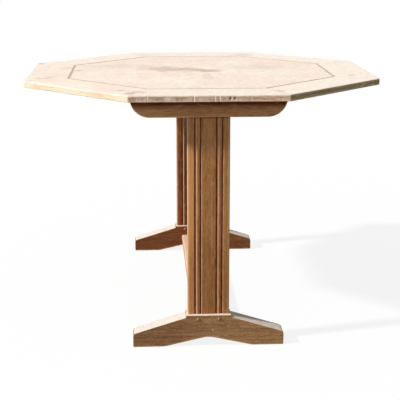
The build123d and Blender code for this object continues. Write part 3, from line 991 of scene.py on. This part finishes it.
def blotchy(place, stretch, low=0.4, high=0.6):
    """Patches of noise, with one scale for all axes or one for each."""
    stretch = tuple(np.broadcast_to(stretch, 3).tolist())
    return use(blotches, {"Place": place, "Stretch": stretch, "Low": low, "High": high})["Mask"]


# %% Stains and dirt
STAIN_VARIETY = (40.0, 40.0, 40.0)

inputs = {"Place": NOWHERE, "Centre": NOWHERE, "Reach": (1.0, 1.0, 1.0), "Ragged": 0.8}
stain, given = new_group("Stain", inputs)
offset = given["Place"].vector_step("SUBTRACT", given["Centre"])[0]
oval = offset.vector_step("DIVIDE", given["Reach"])[0]
own_place = given["Centre"].vector_step("MULTIPLY_ADD", STAIN_VARIETY, oval)[0]
lobes = own_place.cloud((1.6, 1.6, 1.6), 3.0)
tatter = given["Place"].cloud((22.0, 90.0, 90.0), 3.0) + lobes - 1.0
distance = tatter * given["Ragged"] + oval.vector_step("LENGTH")["Value"]
close_group(stain, {"Mask": distance.ramp(1.0, 0.35)})

inlay_dirt, given = new_group("Inlay Dirt", {"Place": NOWHERE, "Spread": 0.004})
flat = given["Place"].vector_step("ABSOLUTE")[0].split()
out = flat["X"].most(flat["Y"]).most((flat["X"] + flat["Y"]) * math.sqrt(0.5))
off = (out - (half_field + inlay_width / 2)).step("ABSOLUTE")
beside = (off - inlay_width / 2) / given["Spread"]
broken = given["Place"].cloud((28.0, 28.0, 28.0), 3.0).ramp(0.35, 0.6, 0.4, 1.0)
close_group(inlay_dirt, {"Mask": beside.ramp(1.0, 0.0) * broken})

# %% [markdown]
# ## The bleached face of the top
#
# Sun, rain and scrubbing have taken nearly all colour out of the top: it is cream, with pinkish
# patches and faint grey fibres. Field and border share this face, so it is a group too. It gives a
# colour and a height for the bump, and each finish adds what is its own.

# %% Bleached oak
CREAM = tone(253, 242, 226)
PINK = tone(250, 226, 212)
GREY_FIBRE = tone(228, 206, 190)

inputs = {"Grain": NOWHERE, "Place": NOWHERE, "Figure": 0.5, "Blush": 1.0}
bleached_face, given = new_group("Bleached Face", inputs)
place = given["Place"]
figure = use(oak_figure, {"Grain": given["Grain"]})
blush = blotchy(place, (4.0, 9.0, 9.0)) * 0.5 + blotchy(place, (17.0, 6.0, 6.0), 0.38, 0.66) * 0.5
mottle = place.cloud((75.0, 45.0, 45.0), 4.0).ramp(0.38, 0.72)
streak = figure["Fibres"].ramp(0.54, 0.74)
dull = figure["Rings"] * 0.12 + streak * 0.5 + mottle * 0.68 + figure["Pores"] * 0.45
colour = coats(CREAM, (blush * given["Blush"], PINK), (dull * given["Figure"], GREY_FIBRE))
close_group(bleached_face, {"Color": colour, "Height": figure["Fibres"] - figure["Pores"] * 0.6})

# %% [markdown]
# A finish starts with an empty material and one Principled shader. What is the same all over, such as
# the gloss of a coat, is set on the shader itself. Fine height goes through a Bump node, while every
# shape large enough to see in outline is already in the mesh.

# %% Start and complete a finish
def new_finish(name, constants):
    """A material with its shader's constants set, and its tree, where the colour is mixed."""
    material = bpy.data.materials.new(name)
    material.use_nodes = True
    fill(material.node_tree.nodes["Principled BSDF"], constants)
    return material, material.node_tree


def complete(tree, depth, height, inputs):
    """Link what was mixed to the shader, with the height as a bump of this depth."""
    bump = add(tree, "ShaderNodeBump", {"Strength": 1.0, "Distance": depth, "Height": height})[0]
    fill(tree.nodes["Principled BSDF"], {**inputs, "Normal": bump})


def noted(tree, name):
    """A number that the points of a piece have noted."""
    return add(tree, "ShaderNodeAttribute", {}, attribute_name=name)["Fac"]


def log_place(tree):
    """Where a point lies in its log, in metres."""
    return add(tree, "ShaderNodeAttribute", {}, attribute_name="grain")["Vector"]


def table_place(tree):
    """Where a point lies on the table, in metres."""
    return add(tree, "ShaderNodeTexCoord", {})["Object"]


def facing(tree):
    """The way a face looks: 1 along X, Y or Z and -1 the other way."""
    return add(tree, "ShaderNodeNewGeometry", {})["Normal"].split()


def dress(material, nodes):
    """Give a finish to pieces by the node that each one is or stands for."""
    for node in nodes:
        piece = skins.get(node, joinery[node])
        piece.data.materials.clear()
        piece.data.materials.append(material)
    print(material.name, "on", len(nodes), "pieces")


layers = skins["border_front"].data.attributes
print("a finish can read", [layer.name for layer in layers if layer.data_type.startswith("FLOAT")])

# %% [markdown]
# The field carries the marks of its life: a long grey stain left of the middle, a blush of pink beside
# it, and a few small smudges. Each is a row in a list: where it is, how far it reaches, how strong.
# Dirt draws faint, broken lines along the seams. The underside never saw the sun, so it stays the brown
# of old unfinished oak.

# %% The field's marks
def on_top(*rows):
    """Marks on the upper face, from X, Y, the reach along both, and strength."""
    return [((x, y, table_height), (wide, deep, 1.0), strength) for x, y, wide, deep, strength in rows]


FIELD_STAINS = on_top(
    (-0.118, 0.054, 0.050, 0.098, 0.40),
    (-0.080, 0.047, 0.068, 0.090, 0.32),
    (-0.036, 0.038, 0.050, 0.085, 0.34),
    (0.030, -0.004, 0.056, 0.052, 0.55),
    (0.012, 0.014, 0.040, 0.046, 0.30),
    (0.018, -0.150, 0.024, 0.090, 0.22),
    (-0.270, 0.145, 0.160, 0.070, 0.22),
    (-0.393, 0.024, 0.018, 0.030, 0.50),
    (0.200, 0.085, 0.140, 0.080, 0.20),
)
FIELD_BLUSH = on_top((-0.168, 0.076, 0.048, 0.085, 0.45), (-0.014, 0.042, 0.034, 0.050, 0.45))
STAIN_TONE = tone(182, 156, 142)
BLUSH_TONE = tone(238, 194, 182)
JOINT_TONE = tone(176, 150, 134)
UNDERSIDE_TONE = tone(158, 118, 82)
UNDERSIDE_DARK = tone(112, 78, 50)
DRY = {"Specular IOR Level": 0.15}


def underside(grain):
    """Old unfinished oak, seen only from below."""
    figure = use(oak_figure, {"Grain": grain})
    return paint(figure["Pores"].most(figure["Fibres"] * 0.7), UNDERSIDE_TONE, UNDERSIDE_DARK)


def add_stains(colour, place, rows, stain_tone, ragged=1.2):
    """Lay a list of stains over a colour."""
    for centre, reach, strength in rows:
        inputs = {"Place": place, "Centre": centre, "Reach": reach, "Ragged": ragged}
        colour = paint(use(stain, inputs)["Mask"] * strength, colour, stain_tone)
    return colour


print("field marks:", len(FIELD_STAINS) + len(FIELD_BLUSH))

# %% The field's finish
field_finish, tree = new_finish("bleached_field_oak", DRY)
grain, place = log_place(tree), table_place(tree)
blush = noted(tree, "tint").ramp(0.0, 1.0, 0.75, 1.2)
face = use(bleached_face, {"Grain": grain, "Place": place, "Figure": 0.6, "Blush": blush})
colour = add_stains(face["Color"], place, FIELD_BLUSH, BLUSH_TONE)
colour = add_stains(colour, place, FIELD_STAINS, STAIN_TONE)
dirt = use(inlay_dirt, {"Place": place})["Mask"]
broken = blotchy(place, 12.0).ramp(0.0, 1.0, 0.3, 1.0)
seam = noted(tree, "sheltered").ramp(0.9, 1.0, 0.0, 0.45) * broken
below = facing(tree)["Z"].ramp(0.2, -0.5)
colour = coats(colour, (dirt * 0.6, JOINT_TONE), (seam, JOINT_TONE), (below, underside(grain)))
rough = face["Height"].ramp(0.2, 0.8, 0.62, 0.84)
complete(tree, 0.0005, face["Height"], {"Base Color": colour, "Roughness": rough})
dress(field_finish, [f"field_board_{index + 1}" for index in range(FIELD_BOARDS)])

# %% [markdown]
# The border has the same face on top. Its outer edges are another matter: they are duller and rosier,
# crossed by short upright marks of the saw and scraper, and some still hold brown finish. The brown is
# also painted shade: it is strongest on the edges that face away from the lamp, and the edge that faces
# the lamp is a pale cream. The finish finds an edge by its normal, and the note on each board says how
# much of the brown and shade it takes.

# %% The border's marks
MARK_DEPTH = 0.012


def on_front_edge(*rows):
    """Marks on the front edge, from X, Z, the reach along both, and strength."""
    return [((x, -half_top, z), (wide, MARK_DEPTH, tall), strength) for x, z, wide, tall, strength in rows]


BORDER_STAINS = on_top(
    (-0.246, -0.440, 0.028, 0.022, 0.40),
    (-0.222, -0.496, 0.020, 0.022, 0.60),
    (-0.207, -0.470, 0.016, 0.024, 0.45),
    (-0.186, -0.480, 0.016, 0.018, 0.40),
    (-0.538, 0.222, 0.016, 0.036, 0.75),
    (-0.495, -0.166, 0.040, 0.014, 0.40),
    (0.207, -0.473, 0.024, 0.020, 0.50),
    (0.474, -0.137, 0.016, 0.018, 0.50),
    (0.184, 0.452, 0.050, 0.026, 0.40),
    (-0.148, 0.470, 0.070, 0.022, 0.25),
)
BORDER_BLUSH = on_top(
    (-0.224, -0.498, 0.022, 0.020, 0.80),
    (-0.470, -0.134, 0.030, 0.034, 0.55),
    (-0.430, 0.092, 0.030, 0.060, 0.45),
)
DARK_WEDGES = on_front_edge(
    (-0.214, 0.739, 0.016, 0.012, 0.45),
    (-0.140, 0.741, 0.034, 0.009, 0.45),
    (-0.080, 0.741, 0.030, 0.009, 0.40),
)
PALE_SPLITS = on_front_edge(*[(split, 0.741, 0.0032, 0.020, 1.0) for split in SPLITS])
PALE_SPLITS += on_front_edge((-0.117, 0.740, 0.016, 0.008, 0.7))
DARK_KNOTS = on_front_edge(*[(hole, 0.7405, 0.0042, 0.005, 0.8) for hole in KNOT_HOLES])
RED_MARKS = [
    ((-0.485, -0.284, 0.740), (0.070, 0.070, 0.020), 0.80),
    ((-0.330, -0.439, 0.740), (0.080, 0.080, 0.020), 0.85),
    ((-0.288, -0.481, 0.739), (0.045, 0.045, 0.020), 1.0),
]
marks = (BORDER_STAINS, BORDER_BLUSH, DARK_WEDGES, PALE_SPLITS, DARK_KNOTS, RED_MARKS)
print("border marks:", [len(rows) for rows in marks])

# %% The border's upper face
BLUSH_SPAN = (-0.45, 0.45)
border_finish, tree = new_finish("bleached_border_oak", DRY)
grain, place = log_place(tree), table_place(tree)
spot = place.split()
blush = spot["X"].ramp(*BLUSH_SPAN, 0.8, 0.0)
face = use(bleached_face, {"Grain": grain, "Place": place, "Figure": 0.48, "Blush": blush})
top_colour = add_stains(face["Color"], place, BORDER_BLUSH, BLUSH_TONE)
top_colour = add_stains(top_colour, place, BORDER_STAINS, STAIN_TONE)
joint = noted(tree, "sheltered").ramp(0.3, 0.9) * (blotchy(place, 30.0) * 0.6 + 0.4)
joint = joint.most(use(inlay_dirt, {"Place": place})["Mask"])
top_colour = paint(joint * 0.75, top_colour, JOINT_TONE)
print("the border blushes from X", *BLUSH_SPAN)

# %% The border's outer edge
EDGE_ROSE = tone(240, 202, 173)
EDGE_CREAM = tone(235, 219, 189)
EDGE_DARK = tone(150, 106, 82)
SHADED_OLD_BROWN = tone(158, 138, 98)
SHADED_OLD_DARK = tone(140, 118, 88)
SCRATCH = tone(240, 188, 150)
CRACK_PALE = tone(250, 234, 216)
KNOT_DARK = tone(96, 62, 46)
DARK_FROM = (0.738, 0.7445)
SCRUBBED_FROM = (0.7455, 0.7475)

# The note holds old finish and painted shade: where it is high, the edge is painted browner and darker.
left = noted(tree, "old_finish_and_shade")
some_left = left.ramp(0.0, 0.3, 0.25, 1.0)
upright = grain.cloud((230.0, 230.0, 45.0), 4.0)
smear = grain.cloud((22.0, 160.0, 260.0), 3.0).ramp(0.5, 0.66, 0.0, 0.5)
wavy = (grain.cloud((60.0, 60.0, 60.0), 3.0) - 0.5) * 0.02
upper_half = (spot["Z"] + wavy).ramp(*DARK_FROM)
edge = coats(
    EDGE_CREAM,
    (left.ramp(0.0, 0.25), EDGE_ROSE),
    (upright.ramp(0.52, 0.74, 0.0, 0.6) * some_left, EDGE_DARK),
    (smear * some_left, EDGE_DARK),
    (upright.ramp(0.42, 0.28, 0.0, 0.6), CRACK_PALE),
    (upper_half * some_left * 0.32, EDGE_DARK),
)
edge = add_stains(edge, place, DARK_WEDGES, EDGE_DARK, 0.6)
edge = add_stains(edge, place, PALE_SPLITS, CRACK_PALE, 0.3)
scraped = add_stains(edge, place, RED_MARKS, SCRATCH, 0.6)
edge = paint(grain.cloud((18.0, 420.0, 420.0), 3.0).ramp(0.42, 0.62), edge, scraped)
edge = add_stains(edge, place, DARK_KNOTS, KNOT_DARK, 0.2)
# The old brown, darker in its upper half, is laid where the note is high, as old finish and painted shade.
brown_and_shade = (left + blotchy(grain, (9.0, 30.0, 70.0), 0.3, 0.7) * 0.5).ramp(0.75, 1.15)
scrubbed = (wavy * 0.35 + spot["Z"]).ramp(*SCRUBBED_FROM) * left.ramp(0.7, 0.4)
edge = coats(edge, (brown_and_shade, paint(upper_half, SHADED_OLD_BROWN, SHADED_OLD_DARK)), (scrubbed, top_colour))
print("the rim is scrubbed from", SCRUBBED_FROM[0], "m up")

# %% Join face, edge and underside
up = facing(tree)["Z"]
exposed = noted(tree, "exposed")
rub = use(rubbed_arris, {"Exposed": exposed, "Grain": grain, "Amount": 0.8})["Mask"]
colour = coats(
    edge,
    (up.ramp(0.35, 0.8), top_colour),
    (rub * 0.35, EDGE_CREAM),
    (up.ramp(-0.3, -0.7), underside(grain)),
)
rough = face["Height"].ramp(0.2, 0.8, 0.62, 0.86)
height = face["Height"] + upright * up.ramp(0.6, 0.2)
complete(tree, 0.0006, height, {"Base Color": colour, "Roughness": rough})
dress(border_finish, [f"border_{name}" for name in SIDE_NAMES])

# %% [markdown]
# ## Stained and varnished oak
#
# The base kept its finish: a brown stain that sank into the pores, under a coat of varnish, which is
# the coat of the Principled shader. Stain is darkest where it could collect, so the grooves are a deep
# red-brown, and it is gone from the rubbed arrises. The same dark tone is also painted as shade: deep in
# the grooves, along the top of each bearer under the top, at the top of each column under its bearer and
# round the pegs. On faces that look up, the arms of the feet, their ledges and the stretcher, sun and wet
# have taken stain and varnish off: there the wood is bare and pale, with grey-brown lines of grain, and
# part of that paleness is painted glare from the light above. Light is painted on the columns too: the
# left side of the front column is painted paler as if in sunlight, the top of the rear column is painted
# paler as if lit, and the left shoulders of the reeds carry a painted highlight. The low end of the front
# column and the left arm of the front foot are painted darker.

# %% Tones of the base
OAK = {"mid": tone(176, 118, 66), "dark": tone(130, 79, 39), "light": tone(204, 149, 93)}
BEARER_OAK = {"mid": tone(192, 135, 85), "dark": tone(146, 94, 52), "light": tone(216, 163, 109)}
REAR_OAK = {"mid": tone(144, 76, 30), "dark": tone(104, 50, 18), "light": tone(170, 102, 50)}
FOOT_OAK = {"mid": tone(168, 124, 78), "dark": tone(122, 79, 41), "light": tone(212, 167, 116)}
REAR_FOOT_OAK = {**REAR_OAK, "mid": tone(122, 72, 36)}
# The stretcher's top is paler: bare wood and painted glare.
STRETCHER_OAK = {**OAK, "bare": tone(232, 202, 174)}
PORE_TONE = tone(76, 44, 24)
# The groove tone is stain in the grooves and also painted shade under the top, under the bearers and round
# the pegs.
GROOVE_AND_SHADE_TONE = tone(88, 34, 12)
RUBBED_TONE = tone(228, 178, 128)
# The weathered tone is bare wood and painted glare on faces that look up.
WEATHERED_AND_GLARE = tone(236, 226, 213)
WEATHERED_GRAIN = tone(172, 144, 118)
# Painted sunlight on the columns.
PAINTED_SUN_TONE = tone(222, 156, 94)
# Darker tone for the low end of the front column.
DARK_LOW_TONE = tone(130, 72, 26)
# Painted highlight on the left shoulders of the reeds.
PAINTED_REED_HIGHLIGHT = tone(238, 176, 132)
VARNISH = {"Coat Weight": 0.15, "Coat Roughness": 0.12, "Specular IOR Level": 0.1}
DIRT_REACH = (0.0095, 9.0, 0.0095)
# Dark rings of dirt and painted shade round the pegs, where they stand out of the foot.
PEG_DIRT_AND_SHADE = [((x, 0.0, peg_low.z + PEG_RADIUS), DIRT_REACH, 0.75) for x in PEG_PLACES]
DARK_ARM = ((-0.15, 0.0, 0.05), (0.17, 9.0, 0.2), 0.34)
print("dirt round", len(PEG_DIRT_AND_SHADE), "pegs on each foot")

# %% Painted sunlight, highlights and a darker low end
SUN_SIDE = (-0.0405, -0.0435)
SUN_LOW = (0.2, 0.42)
SUN_HIGH = (0.62, 0.56)
LEFT_REED = (0.012, -0.012)
PAINTED_LIGHT_TOP = (0.40, 0.68)
DARK_LOW_HEIGHTS = (0.38, 0.26)
DARK_LOW_SIDE = (-0.052, -0.034)


def painted_light_coats(spot, way, side, highlight, top, low):
    """Coats for a column: a darker low end, painted sunlight, painted light on top, painted reed
    highlights.
    """
    # The low end of the front column is darker towards the bottom on its left side.
    dark_low = spot["Z"].ramp(*DARK_LOW_HEIGHTS, 0.0, low) * spot["X"].ramp(*DARK_LOW_SIDE)
    # Painted sunlight on the left side of the front column, below the shadow of the top.
    in_sun = spot["Z"].ramp(*SUN_LOW, 0.35, 1.0) * spot["Z"].ramp(*SUN_HIGH)
    in_sun = in_sun * spot["X"].ramp(*SUN_SIDE, 0.0, side) * way["Y"].ramp(-0.2, -0.6, 0.35, 1.0)
    # A painted highlight on the left shoulders of the reeds, brighter on the left reed and below the shadow
    # line.
    reed_highlight = way["X"].ramp(-0.2, -0.45) * way["X"].ramp(-0.95, -0.8)
    reed_highlight = reed_highlight * spot["X"].ramp(*LEFT_REED, 0.5, 1.0)
    reed_highlight = reed_highlight * spot["Z"].ramp(*SUN_HIGH, 1.0 - side / 2, 1.0)
    return [
        (dark_low, DARK_LOW_TONE),
        (in_sun, PAINTED_SUN_TONE),
        # Painted light on the top of the rear column, which lies in the shade of the top.
        (spot["Z"].ramp(*PAINTED_LIGHT_TOP, 0.0, top), PAINTED_SUN_TONE),
        (reed_highlight * highlight, PAINTED_REED_HIGHLIGHT),
    ]


print("the sun reaches up to", SUN_HIGH[0], "m on a column")

# %% The base's finish
def stained_finish(name, oak, fleck_share, sun=None, marks=()):
    """One shade of the stained oak, with marks of dirt and painted shade, and for a column with painted
    light.

    sun says how strongly painted sunlight lies on a column's side, a painted highlight on the shoulders of
    its reeds and painted light on its top, and how much darker its low end is.
    """
    material, tree = new_finish(name, VARNISH)
    grain, place, way = log_place(tree), table_place(tree), facing(tree)
    figure = use(oak_figure, {"Grain": grain, "Ring Spacing": 0.006})
    fibres, pores = figure["Fibres"], figure["Pores"]
    colour = coats(
        paint(fibres.ramp(0.36, 0.68), oak["light"], oak["dark"]),
        (0.55, oak["mid"]),
        (blotchy(grain, (5.0, 22.0, 22.0), 0.35, 0.7) * 0.2, oak["dark"]),
        (blotchy(grain, (32.0, 70.0, 70.0), 0.42, 0.7) * 0.22, oak["dark"]),
        (figure["Rings"] * 0.15, oak["dark"]),
        (figure["Flecks"] * fleck_share, oak["light"]),
        (pores * 0.6, PORE_TONE),
        (noted(tree, "tint").ramp(0.0, 1.0, 0.0, 0.18), oak["dark"]),
        *(painted_light_coats(place.split(), way, *sun) if sun else []),
    )
    colour = add_stains(colour, place, marks, GROOVE_AND_SHADE_TONE, 0.3)
    # Stain in the hollows and painted shade, from the note on each point.
    hollow_and_shade = noted(tree, "sheltered").ramp(0.12, 0.5)
    exposed = noted(tree, "exposed")
    rub = use(rubbed_arris, {"Exposed": exposed, "Grain": grain, "Amount": 0.9})["Mask"]
    # Bare weathered wood and painted glare on faces that look up.
    bare = way["Z"].ramp(0.6, 0.88) * fibres.ramp(0.95, 0.58)
    lines = pores * 0.5 + fibres.ramp(0.48, 0.66, 0.0, 0.4)
    colour = coats(
        colour,
        (hollow_and_shade * 0.95, GROOVE_AND_SHADE_TONE),
        (rub * 0.35, RUBBED_TONE),
        (bare, oak.get("bare", WEATHERED_AND_GLARE)),
        (lines * bare, WEATHERED_GRAIN),
    )
    rough = bare * 0.25 + fibres.ramp(0.3, 0.7, 0.42, 0.56)
    varnish = hollow_and_shade.most(bare).ramp(0.0, 1.0, VARNISH["Coat Weight"], 0.0)
    inputs = {"Base Color": colour, "Roughness": rough, "Coat Weight": varnish}
    complete(tree, 0.0004, fibres - pores, inputs)
    return material


dress(stained_finish("stained_oak_stretcher", STRETCHER_OAK, 0.35), ["stretcher"])
dress(stained_finish("stained_oak_bearer", BEARER_OAK, 0.35), ["bearer_front", "bearer_rear"])
dress(stained_finish("stained_oak_column", OAK, 0.6, sun=(0.9, 0.75, 0.0, 0.35)), ["column_front"])
dress(stained_finish("stained_oak_foot", FOOT_OAK, 0.9, marks=[*PEG_DIRT_AND_SHADE, DARK_ARM]), ["foot_front"])
dress(stained_finish("stained_oak_rear_column", REAR_OAK, 0.5, sun=(0.0, 0.8, 0.85, 0.0)), ["column_rear"])
dress(stained_finish("stained_oak_rear_foot", REAR_FOOT_OAK, 0.6, marks=PEG_DIRT_AND_SHADE), ["foot_rear"])

# %% [markdown]
# ## Small parts
#
# The inlay is a strip of dark wood that the scrubbing has bleached in places, most of all at its left
# and right ends. Pegs and dowels show end grain, so their colour is broken by round specks and not by
# lines. The rails and the hidden tongues and splines are oak that was never finished. The screws are
# old steel with dull patches.

# %% Inlay
INLAY_TONE = tone(84, 60, 48)
INLAY_DARK = tone(58, 40, 30)
INLAY_PALE = tone(196, 172, 158)
INLAY_FADED = tone(196, 170, 150)
PALE_ENDS = (0.404, 0.409)

inlay_finish, tree = new_finish("worn_dark_inlay", {"Specular IOR Level": 0.3})
place = table_place(tree)
speck = place.cloud((500.0, 500.0, 500.0))
ends = place.split()["X"].step("ABSOLUTE").ramp(*PALE_ENDS, 0.0, 0.9)
colour = coats(
    paint(speck.ramp(0.4, 0.65), INLAY_TONE, INLAY_DARK),
    (ends, INLAY_PALE),
    (blotchy(place, 14.0, 0.42, 0.62) * 0.2, INLAY_FADED),
)
complete(tree, 0.0004, speck, {"Base Color": colour, "Roughness": speck.ramp(0.3, 0.7, 0.5, 0.75)})
dress(inlay_finish, [f"inlay_{name}" for name in SIDE_NAMES])

# %% Pegs and dowels
PEG_TONE = tone(184, 140, 102)
PEG_DARK = tone(92, 58, 36)
DOWEL_TONES = [tone(150, 106, 66), tone(226, 186, 138), tone(150, 104, 66)]
MIDDLE = (-0.004, 0.004)


def end_grain_finish(name, left, right, dark, constants):
    """Sawn or whittled ends: specks of open pores, on a ground of its own on each side of the middle."""
    material, tree = new_finish(name, constants)
    place = table_place(tree)
    ground = paint(place.split()["X"].ramp(*MIDDLE), left, right)
    specks = place.cloud((1600.0, 300.0, 1600.0)).ramp(0.5, 0.68)
    colour = coats(
        ground,
        (blotchy(place, (160.0, 60.0, 160.0), 0.4, 0.65) * 0.5, dark),
        (specks * 0.7, dark),
        (noted(tree, "exposed") * 0.5, ground),
    )
    complete(tree, 0.0003, specks, {"Base Color": colour, "Roughness": specks.ramp(0.0, 1.0, 0.35, 0.6)})
    return material


peg_finish = end_grain_finish("whittled_peg_oak", PEG_TONE, PEG_TONE, PEG_DARK, VARNISH)
dress(peg_finish, ["foot_pegs_front", "foot_pegs_rear"])
dowel_finish = end_grain_finish("sawn_dowel_beech", *DOWEL_TONES, {"Coat Weight": 0.3})
dress(dowel_finish, ["stretcher_dowels_front", "stretcher_dowels_rear"])

# %% Raw oak and steel
RAW_TONE = tone(186, 146, 104)
RAW_DARK = tone(146, 106, 70)
RAW_PORE = tone(96, 66, 44)
STEEL_TONE = tone(168, 164, 158)
STEEL_DULL = tone(112, 98, 86)


def raw_finish(name, read_place):
    """Oak that was sawn and never finished."""
    material, tree = new_finish(name, {"Specular IOR Level": 0.25})
    grain = read_place(tree)
    figure = use(oak_figure, {"Grain": grain, "Ring Spacing": 0.005})
    saw = grain.cloud((420.0, 30.0, 30.0))
    ground = paint(figure["Fibres"].ramp(0.35, 0.65), RAW_TONE, RAW_DARK)
    inputs = {"Base Color": paint(figure["Pores"] * 0.7, ground, RAW_PORE)}
    inputs["Roughness"] = saw.ramp(0.3, 0.7, 0.6, 0.85)
    complete(tree, 0.0006, figure["Fibres"] + saw, inputs)
    return material


dress(raw_finish("raw_oak_rail", log_place), ["top_rail_left", "top_rail_right"])
dress(raw_finish("raw_oak_hidden", table_place), ["border_tongues", "mitre_splines"])

steel_finish, tree = new_finish("old_steel", {"Metallic": 1.0})
dull = blotchy(table_place(tree), 300.0)
colour = paint(dull, STEEL_TONE, STEEL_DULL)
complete(tree, 0.0002, dull, {"Base Color": colour, "Roughness": dull.ramp(0.0, 1.0, 0.3, 0.6)})
dress(steel_finish, ["bearer_screws", "rail_screws"])
plain = [name for name, node in joinery.items() if not skins.get(name, node).data.materials]
print("nodes without a finish:", plain)

# %% [markdown]
# ## Floor, room and light
#
# The table stands on a plain pale floor in a white room. To the camera and to reflections the room is
# white, and to the light that falls on the wood it is dimmer, so the picture is bright while colours
# stay as they are written. The floor is mostly white to the camera too, with enough plain diffuse
# left to carry a soft shadow. One large lamp stands high on the left, as the sun stood, so far away
# that it lights both ends of the top alike, and a weak one in front opens the shade.

# %% The floor
FLOOR_HALF = 20.0
FLOOR_DROP = 0.0004
FLOOR_WHITE = 0.86
FLOOR_CALM = (0.7, 3.2)
FLOOR_PALE = (0.92, 0.92, 0.92, 1.0)
FLOOR_GREY = (0.42, 0.42, 0.42, 1.0)
WHITE = (1.0, 1.0, 1.0, 1.0)


def seen_directly(tree):
    """1 for rays from the camera, from gloss and through glass, and 0 for light on the wood."""
    rays = add(tree, "ShaderNodeLightPath", {})
    return rays["Is Camera Ray"].most(rays["Is Glossy Ray"]).most(rays["Is Transmission Ray"])


floor_mesh = bpy.data.meshes.new("floor")
corners = [(x * FLOOR_HALF, y * FLOOR_HALF, -FLOOR_DROP) for x, y in ((-1, -1), (1, -1), (1, 1), (-1, 1))]
floor_mesh.from_pydata(corners, [], [(0, 1, 2, 3)])
floor = into_scene("floor", floor_mesh)
floor_paint = bpy.data.materials.new("floor_paint")
floor_paint.use_nodes = True
tree = floor_paint.node_tree
tree.nodes.clear()
seen = seen_directly(tree)
matt = add(tree, "ShaderNodeBsdfDiffuse", {"Color": paint(seen, FLOOR_GREY, FLOOR_PALE)})[0]
glow = add(tree, "ShaderNodeEmission", {"Color": WHITE, "Strength": 1.0})[0]
away = table_place(tree).vector_step("LENGTH")["Value"]
share = seen * away.ramp(*FLOOR_CALM, FLOOR_WHITE, 1.0)
mixed = add(tree, "ShaderNodeMixShader", {0: share, 1: matt, 2: glow})[0]
add(tree, "ShaderNodeOutputMaterial", {"Surface": mixed})
floor_mesh.materials.append(floor_paint)
print("floor", 2 * FLOOR_HALF, "m wide")

# %% The room
ROOM_LIGHT = 0.28
room = bpy.data.worlds.new("white_room")
room.use_nodes = True
bpy.context.scene.world = room
tree = room.node_tree
tree.nodes.clear()
strength = seen_directly(tree).ramp(0.0, 1.0, ROOM_LIGHT, 1.0)
background = add(tree, "ShaderNodeBackground", {"Color": WHITE, "Strength": strength})[0]
add(tree, "ShaderNodeOutputWorld", {"Surface": background})
print("room light", ROOM_LIGHT)

# %% The lamps
AIM = Vector((0.0, 0.0, 0.45))
LAMPS = {
    "left_lamp": {"way": (-0.78, -0.19, 0.60), "distance": 60.0, "size": 4.2, "power": 45700.0},
    "front_lamp": {"way": (0.2, -0.9, 0.3), "distance": 8.0, "size": 4.0, "power": 30.0},
}
for name, lamp in LAMPS.items():
    light = bpy.data.lights.new(name, "AREA")
    light.shape = "DISK"
    light.size = lamp["size"]
    light.energy = lamp["power"]
    way = Vector(lamp["way"]).normalized()
    stand = into_scene(name, light)
    stand.location = AIM + way * lamp["distance"]
    stand.rotation_euler = way.to_track_quat("Z", "Y").to_euler()
print("lamps:", list(LAMPS))

# %% [markdown]
# ## The camera
#
# The camera stands where the picture was taken from: a little left of the table, at eye height, about
# three metres away, with a long lens. Its place and turn were found by matching the corners of the top,
# feet and columns.

# %% Place the camera
CAMERA_PLACE = (-0.1802, -3.3558, 1.1702)
CAMERA_YAW = 0.0543
CAMERA_PITCH = 0.24927
FOCAL_PIXELS = 1030.85
IMAGE_PIXELS = 400
SENSOR = 36.0

lens = bpy.data.cameras.new("camera")
lens.sensor_fit = "HORIZONTAL"
lens.sensor_width = SENSOR
lens.lens = FOCAL_PIXELS / IMAGE_PIXELS * SENSOR
camera = into_scene("camera", lens)
camera.location = CAMERA_PLACE
camera.rotation_euler = (math.pi / 2 - CAMERA_PITCH, 0.0, -CAMERA_YAW)
bpy.context.scene.camera = camera
bpy.context.scene.view_settings.view_transform = "Standard"
print("lens", round(lens.lens, 1), "mm")

# %% [markdown]
# ## The box of the table
#
# The dressed table has to fill the same box as the joinery.
